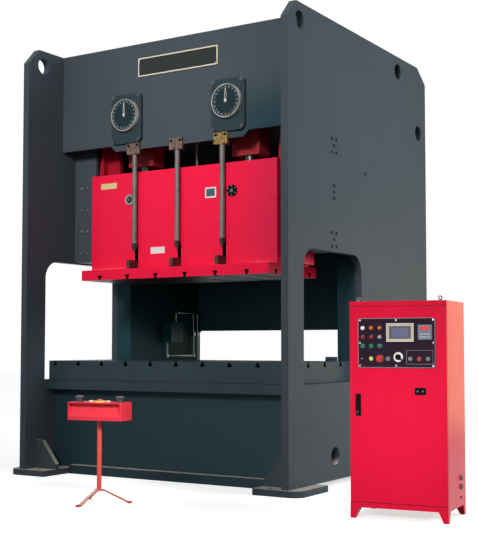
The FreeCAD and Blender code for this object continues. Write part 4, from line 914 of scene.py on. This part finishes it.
def makeLamps():
    # A domed lens in a dark collar for each lamp.
    wide, out, sides = lamps["width"], lamps["out"], lamps["sides"]
    lens = [(wide, panelOut), (wide, out - lamps["bevel"]),
            *((wide * share, out + up) for share, up in lamps["dome"])]
    collars = []
    for row, line in enumerate(("upperLamps", "lowerLamps"), 1):
        for column, (across, finish) in enumerate(zip(columns.values(), lamps[line]), 1):
            middle = (across, rows[line])
            onDoor(f"lamp_lens_{row}_{column}", [turned(lens, middle, sides=sides)], finish,
                   "pointer_white")
            collars.append(collar(**lampCollar, middle=middle))
    onDoor("lamp_collars", collars, "bolt_grey", "bolt_black")


buttons = {
    **{"green_button_" + word: (across, rows["green"]) for word, across in columns.items()},
    "yellow_button": (columns["middle"], rows["low"]),
    **{"group_button_" + word: (across, rows["low"]) for word, across in groupColumns.items()},
}
buttonCollar = {"bore": 0.0312, "width": 0.0362, "levels": collarLevels, "sides": 32}
buttonCap = [(0.013, 0.0235), (0.013, 0.0252), (0.010, 0.0258)]         # widths and levels
capFinish = {**{"green_button_" + word: "panel_black" for word in columns},
             "group_button_left": "lamp_grey"}
stopRing = {"bore": 0.0515, "width": 0.063, "levels": collarLevels,
            "middle": (columns["right"], rows["low"])}


def makeCollars():
    # Collars round the push buttons and the stop, and a raised cap in the middle of each button.
    collars = []
    for name, middle in buttons.items():
        collars.append(collar(**buttonCollar, middle=middle))
        settle(name + "_cap", [turned(buttonCap, middle, sides=28)], cabinetFront,
               capFinish.get(name, finishFor(name)), bodyOf[name], slotOf[name])
    onDoor("button_collars", collars, "bolt_grey", "bolt_black")
    onDoor("cabinet_stop_ring", [collar(**stopRing)], "collar_red", "button_red")


screen = {"middle": (0.4155, 1.438), "size": (0.217, 0.142), "edge": 0.022, "margins": (0.046, 0.030),
          "surround": {"corner": 0.002, "low": 0.0205, "high": 0.0216, "edge": 0.0002},
          "picture": {"corner": 0.002, "low": 0.0210, "high": 0.0222, "edge": 0.0002},
          "rim": {"corner": 0.004, "line": 0.004, "low": 0.0235, "high": 0.0250}}
counter = {"middle": (0.6115, 1.439), "windowUp": 0.030, "keyColumns": (-0.028, 0.0, 0.028),
           "keyRows": (-0.014, -0.036),
           "window": {"size": (0.066, 0.030), "corner": 0.002, "low": 0.0205, "high": 0.0248,
                      "edge": 0.0002},
           "key": {"size": (0.022, 0.012), "corner": 0.002, "low": 0.0205, "high": 0.0256,
                   "edge": 0.0004}}


def makeDisplays():
    # The lit screen in its cream bezel, and the counter's red window and light keys.
    middle = screen["middle"]
    inner = inset(screen["size"], screen["edge"])
    glow = [side - margin for side, margin in zip(inner, screen["margins"])]
    onDoor("screen_surround", [plate(inner, **screen["surround"], middle=middle)], "screen_dark",
           "screen_bezel")
    onDoor("screen_picture", [plate(glow, **screen["picture"], middle=middle)], "screen_glow",
           "screen_bezel")
    onDoor("screen_rim", [border(screen["size"], **screen["rim"], middle=middle)], "label_white",
           "screen_bezel")
    x, z = counter["middle"]
    window = plate(**counter["window"], middle=(x, z + counter["windowUp"]))
    onDoor("counter_window", [window], "counter_glow", "counter_grey")
    keys = [plate(**counter["key"], middle=(x + across, z + up))
            for across in counter["keyColumns"] for up in counter["keyRows"]]
    onDoor("counter_keys", keys, "key_grey", "counter_grey")


switchPlate = {"middle": (0.567, 0.9885), "size": (0.088, 0.055), "corner": 0.012, "high": 0.006,
               "edge": 0.0015}
switchLever = {"across": 0.020, "profile": [(0.015, 0.005), (0.015, 0.009), (0.008, 0.012)]}
handlePlate = {"middle": (0.0715, 0.876), "size": (0.042, 0.176), "corner": 0.006, "high": 0.0025,
               "edge": 0.0008}
handleLock = {"middle": (0.0715, 0.823), "profile": [(0.016, 0.020), (0.016, 0.0275), (0.013, 0.0285)]}


def makeDoorDetails():
    # The switch's plate with two small levers, and the handle's plate and lock.
    onDoor("switch_plate", [plate(**switchPlate)], "handle_black", "handle_black")
    x, z = switchPlate["middle"]
    levers = [turned(switchLever["profile"], (x + side * switchLever["across"], z), sides=20)
              for side in (-1, 1)]
    onDoor("switch_levers", levers, "gland_grey", "button_grey")
    onDoor("handle_escutcheon", [plate(**handlePlate)], "plate_black", "handle_black")
    settle("handle_lock", [turned(**handleLock, sides=28)], cabinetFront, "bolt_grey",
           bodyOf["door_handle"], "chrome")


seams = {"tall": 0.0034, "short": 0.002, "levels": {"top": 1.6434, "foot": 0.1246},
         "strip": {"corner": 0.0004, "low": -0.001, "high": 0.0006, "edge": 0.0001}}


def makeSeams():
    # Dark strips over the gaps above the door and below it, as painted shade of the gaps.
    wide = cabinet["width"]
    for name, level in seams["levels"].items():
        strip = plate((wide - seams["short"], seams["tall"]), **seams["strip"],
                      middle=(wide / 2, level))
        settle("door_seam_" + name, [strip], cabinetFront, "seam_black", "root", "red_paint")


cableEntries = {"across": 0.400, "levels": (0.305, 0.235), "nut": 0.050, "nutHigh": 0.008,
                "seal": [(0.026, 0.010), (0.026, 0.0135), (0.020, 0.0140)],
                "plugLevel": 0.150, "plug": [(0.026, 0), (0.026, 0.003), (0.018, 0.005)]}


def makeCableEntries():
    # Hexagonal nuts round the two cable entries and a small plug below them.
    look = cableEntries
    for count, level in enumerate(look["levels"], 1):
        middle = (look["across"], level)
        nut = loft([circle(look["nut"], height, middle, 6) for height in (0.0, look["nutHigh"])])
        settle(f"gland_nut_{count}", [nut], cabinetSide, "gland_grey", "root", "gland_grey")
        seal = turned(look["seal"], middle, sides=28)
        settle(f"gland_seal_{count}", [seal], cabinetSide, "handle_black", "root", "handle_black")
    plug = turned(look["plug"], (look["across"], look["plugLevel"]), sides=28)
    settle("side_plug", [plug], cabinetSide, "handle_black", "root", "handle_black")


makePanel()
makeLamps()
makeCollars()
makeDisplays()
makeDoorDetails()
makeSeams()
makeCableEntries()
print("the cabinet has its panel, lamps, displays and seams")


# Console, in the frame of its box's top

console = {"middle": (0.390, -2.720, 0.857), "turn": 10, "palmSpread": 0.197, "smallSpread": 0.082,
           "stopDisc": [(0.112, 0), (0.106, 0.009), (0.053, 0.009), (0.053, 0)],
           "palmTop": [(0.066, 0.0465), (0.062, 0.0485), (0.044, 0.0500), (0.020, 0.0505)]}
smallCollar = {"bore": 0.0255, "width": 0.046, "levels": (0, 0.011, 0.013), "taper": 0.002, "sides": 32}
palmCollar = {"bore": 0.0515, "width": 0.066, "levels": (0, 0.005, 0.006), "taper": 0.002, "sides": 48}
consoleTop = placed(console["middle"], console["turn"])


def makeConsoleDetails():
    # A yellow disc round the stop, collars round the buttons and worn tops on the palm buttons.
    settle("console_stop_ring", [turned(console["stopDisc"], closed=True)], consoleTop, "stop_yellow",
           "root", "button_yellow")
    for side, word in ((-1, "left"), (1, "right")):
        middle = (side * console["smallSpread"], 0)
        settle("console_collar_" + word, [collar(**smallCollar, middle=middle)], consoleTop, "cream",
               "root", "button_yellow")
        middle = (side * console["palmSpread"], 0)
        name = "palm_button_" + word
        settle("palm_top_" + word, [turned(console["palmTop"], middle)], consoleTop, "palm_worn",
               bodyOf[name], slotOf[name])
        settle("palm_collar_" + word, [collar(**palmCollar, middle=middle)], consoleTop, "button_black",
               "root", "button_black")


makeConsoleDetails()
print("the console has its ring and collars")


# Floor, light and camera

stage = {"floorSize": 60, "floorRough": 0.9, "floorBounce": 0.22, "floorShown": 0.9, "floorGlow": 0.62,
         "skyShare": 0.40, "skyTint": (0.93, 0.97, 1.0)}
lights = {
    "front": {"spot": (3.0, -13.0, 7.4), "target": (-0.1, -1.0, 3.6), "wide": 2.4, "power": 60,
              "tint": (1.0, 1.0, 1.0), "spread": 34},
    "right": {"spot": (12.0, 0.6, 5.2), "target": (1.6, 0.0, 2.2), "wide": 4.0, "power": 112,
              "tint": (0.85, 0.97, 1.0), "spread": 60},
    "cabinet": {"spot": (3.9, -7.8, 2.6), "target": (2.95, -2.2, 0.70), "wide": 1.0, "power": 9.3,
                "tint": (1.0, 0.98, 0.98), "spread": 32},
    "console": {"spot": (3.6, -5.0, 3.2), "target": (0.40, -2.72, 0.50), "wide": 0.6, "power": 3.6,
                "tint": (1.0, 0.94, 0.88), "spread": 22},
    "warm": {"spot": (5.2, 7.0, 1.6), "target": (3.3, -2.0, 0.9), "wide": 3.2, "power": 30,
             "tint": (1.0, 0.52, 0.12), "spread": 120},
}
camera = {"sensor": 36, "lens": 70.636, "shiftX": -0.02337, "shiftY": 0.03131, "farthest": 200,
          "spot": (6.3046, -9.8312, 1.3374), "turn": (93.069, 0.02, 31.668)}


def grey(share):
    return (share, share, share, 1)


def makeFloor():
    # A plain pale floor that keeps the object's shadow and throws little light back.
    half = stage["floorSize"] / 2
    spots = [(x * half, y * half, 0) for x, y in ((-1, -1), (1, -1), (1, 1), (-1, 1))]
    mesh = bpy.data.meshes.new("floor")
    mesh.from_pydata(spots, [], [(0, 1, 2, 3)])
    paint = Paint("floor_pale", Roughness=stage["floorRough"], Specular_IOR_Level=0.0,
                  Emission_Strength=1.0)
    seen = paint.seen()
    paint.feed("Base Color", paint.mix(seen, grey(stage["floorBounce"]), grey(stage["floorShown"])))
    paint.feed("Emission Color", paint.mix(seen, grey(0), grey(stage["floorGlow"])))
    mesh.materials.append(paint.material)
    linked("floor", mesh)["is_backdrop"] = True


def makeWorld():
    # Soft even light all round, seen as white.
    world = bpy.data.worlds.new("studio")
    bpy.context.scene.world = world
    world.use_nodes = True
    graph = Graph(world.node_tree)
    sky = graph.tree.nodes["Background"]
    graph.give(sky.inputs["Color"], (*stage["skyTint"], 1))
    graph.give(sky.inputs["Strength"], stage["skyShare"])
    white = graph.add("ShaderNodeBackground", {}, {"Color": grey(1), "Strength": 1.0})
    both = graph.add("ShaderNodeMixShader", {}, {
        0: graph.seen(), 1: Value(graph, sky.outputs[0]), 2: white})
    graph.give(graph.tree.nodes["World Output"].inputs["Surface"], both)


def makeLamp(name, look):
    # A square soft lamp that looks at a point.
    light = bpy.data.lights.new(name, "AREA")
    light.shape = "SQUARE"
    light.size = look["wide"]
    light.energy = look["power"]
    light.color = look["tint"]
    light.spread = math.radians(look["spread"])
    thing = linked(name, light)
    thing.location = look["spot"]
    aim = Vector(look["target"]) - Vector(look["spot"])
    thing.rotation_euler = aim.to_track_quat("-Z", "Y").to_euler()


def makeCamera():
    # The photograph's own viewpoint.
    data = bpy.data.cameras.new("camera")
    data.sensor_width = camera["sensor"]
    data.lens = camera["lens"]
    data.shift_x = camera["shiftX"]
    data.shift_y = camera["shiftY"]
    data.clip_end = camera["farthest"]
    thing = linked("camera", data)
    thing.location = camera["spot"]
    thing.rotation_euler = [math.radians(turn) for turn in camera["turn"]]
    bpy.context.scene.camera = thing


makeFloor()
makeWorld()
for name, look in lights.items():
    makeLamp(name, look)
makeCamera()
bpy.context.scene.view_settings.view_transform = "Standard"
print("floor, lamps and camera are set")

boxes = {"cad": cadBox, "shown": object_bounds()}
{name: [list(corner) for corner in pair] for name, pair in boxes.items()}
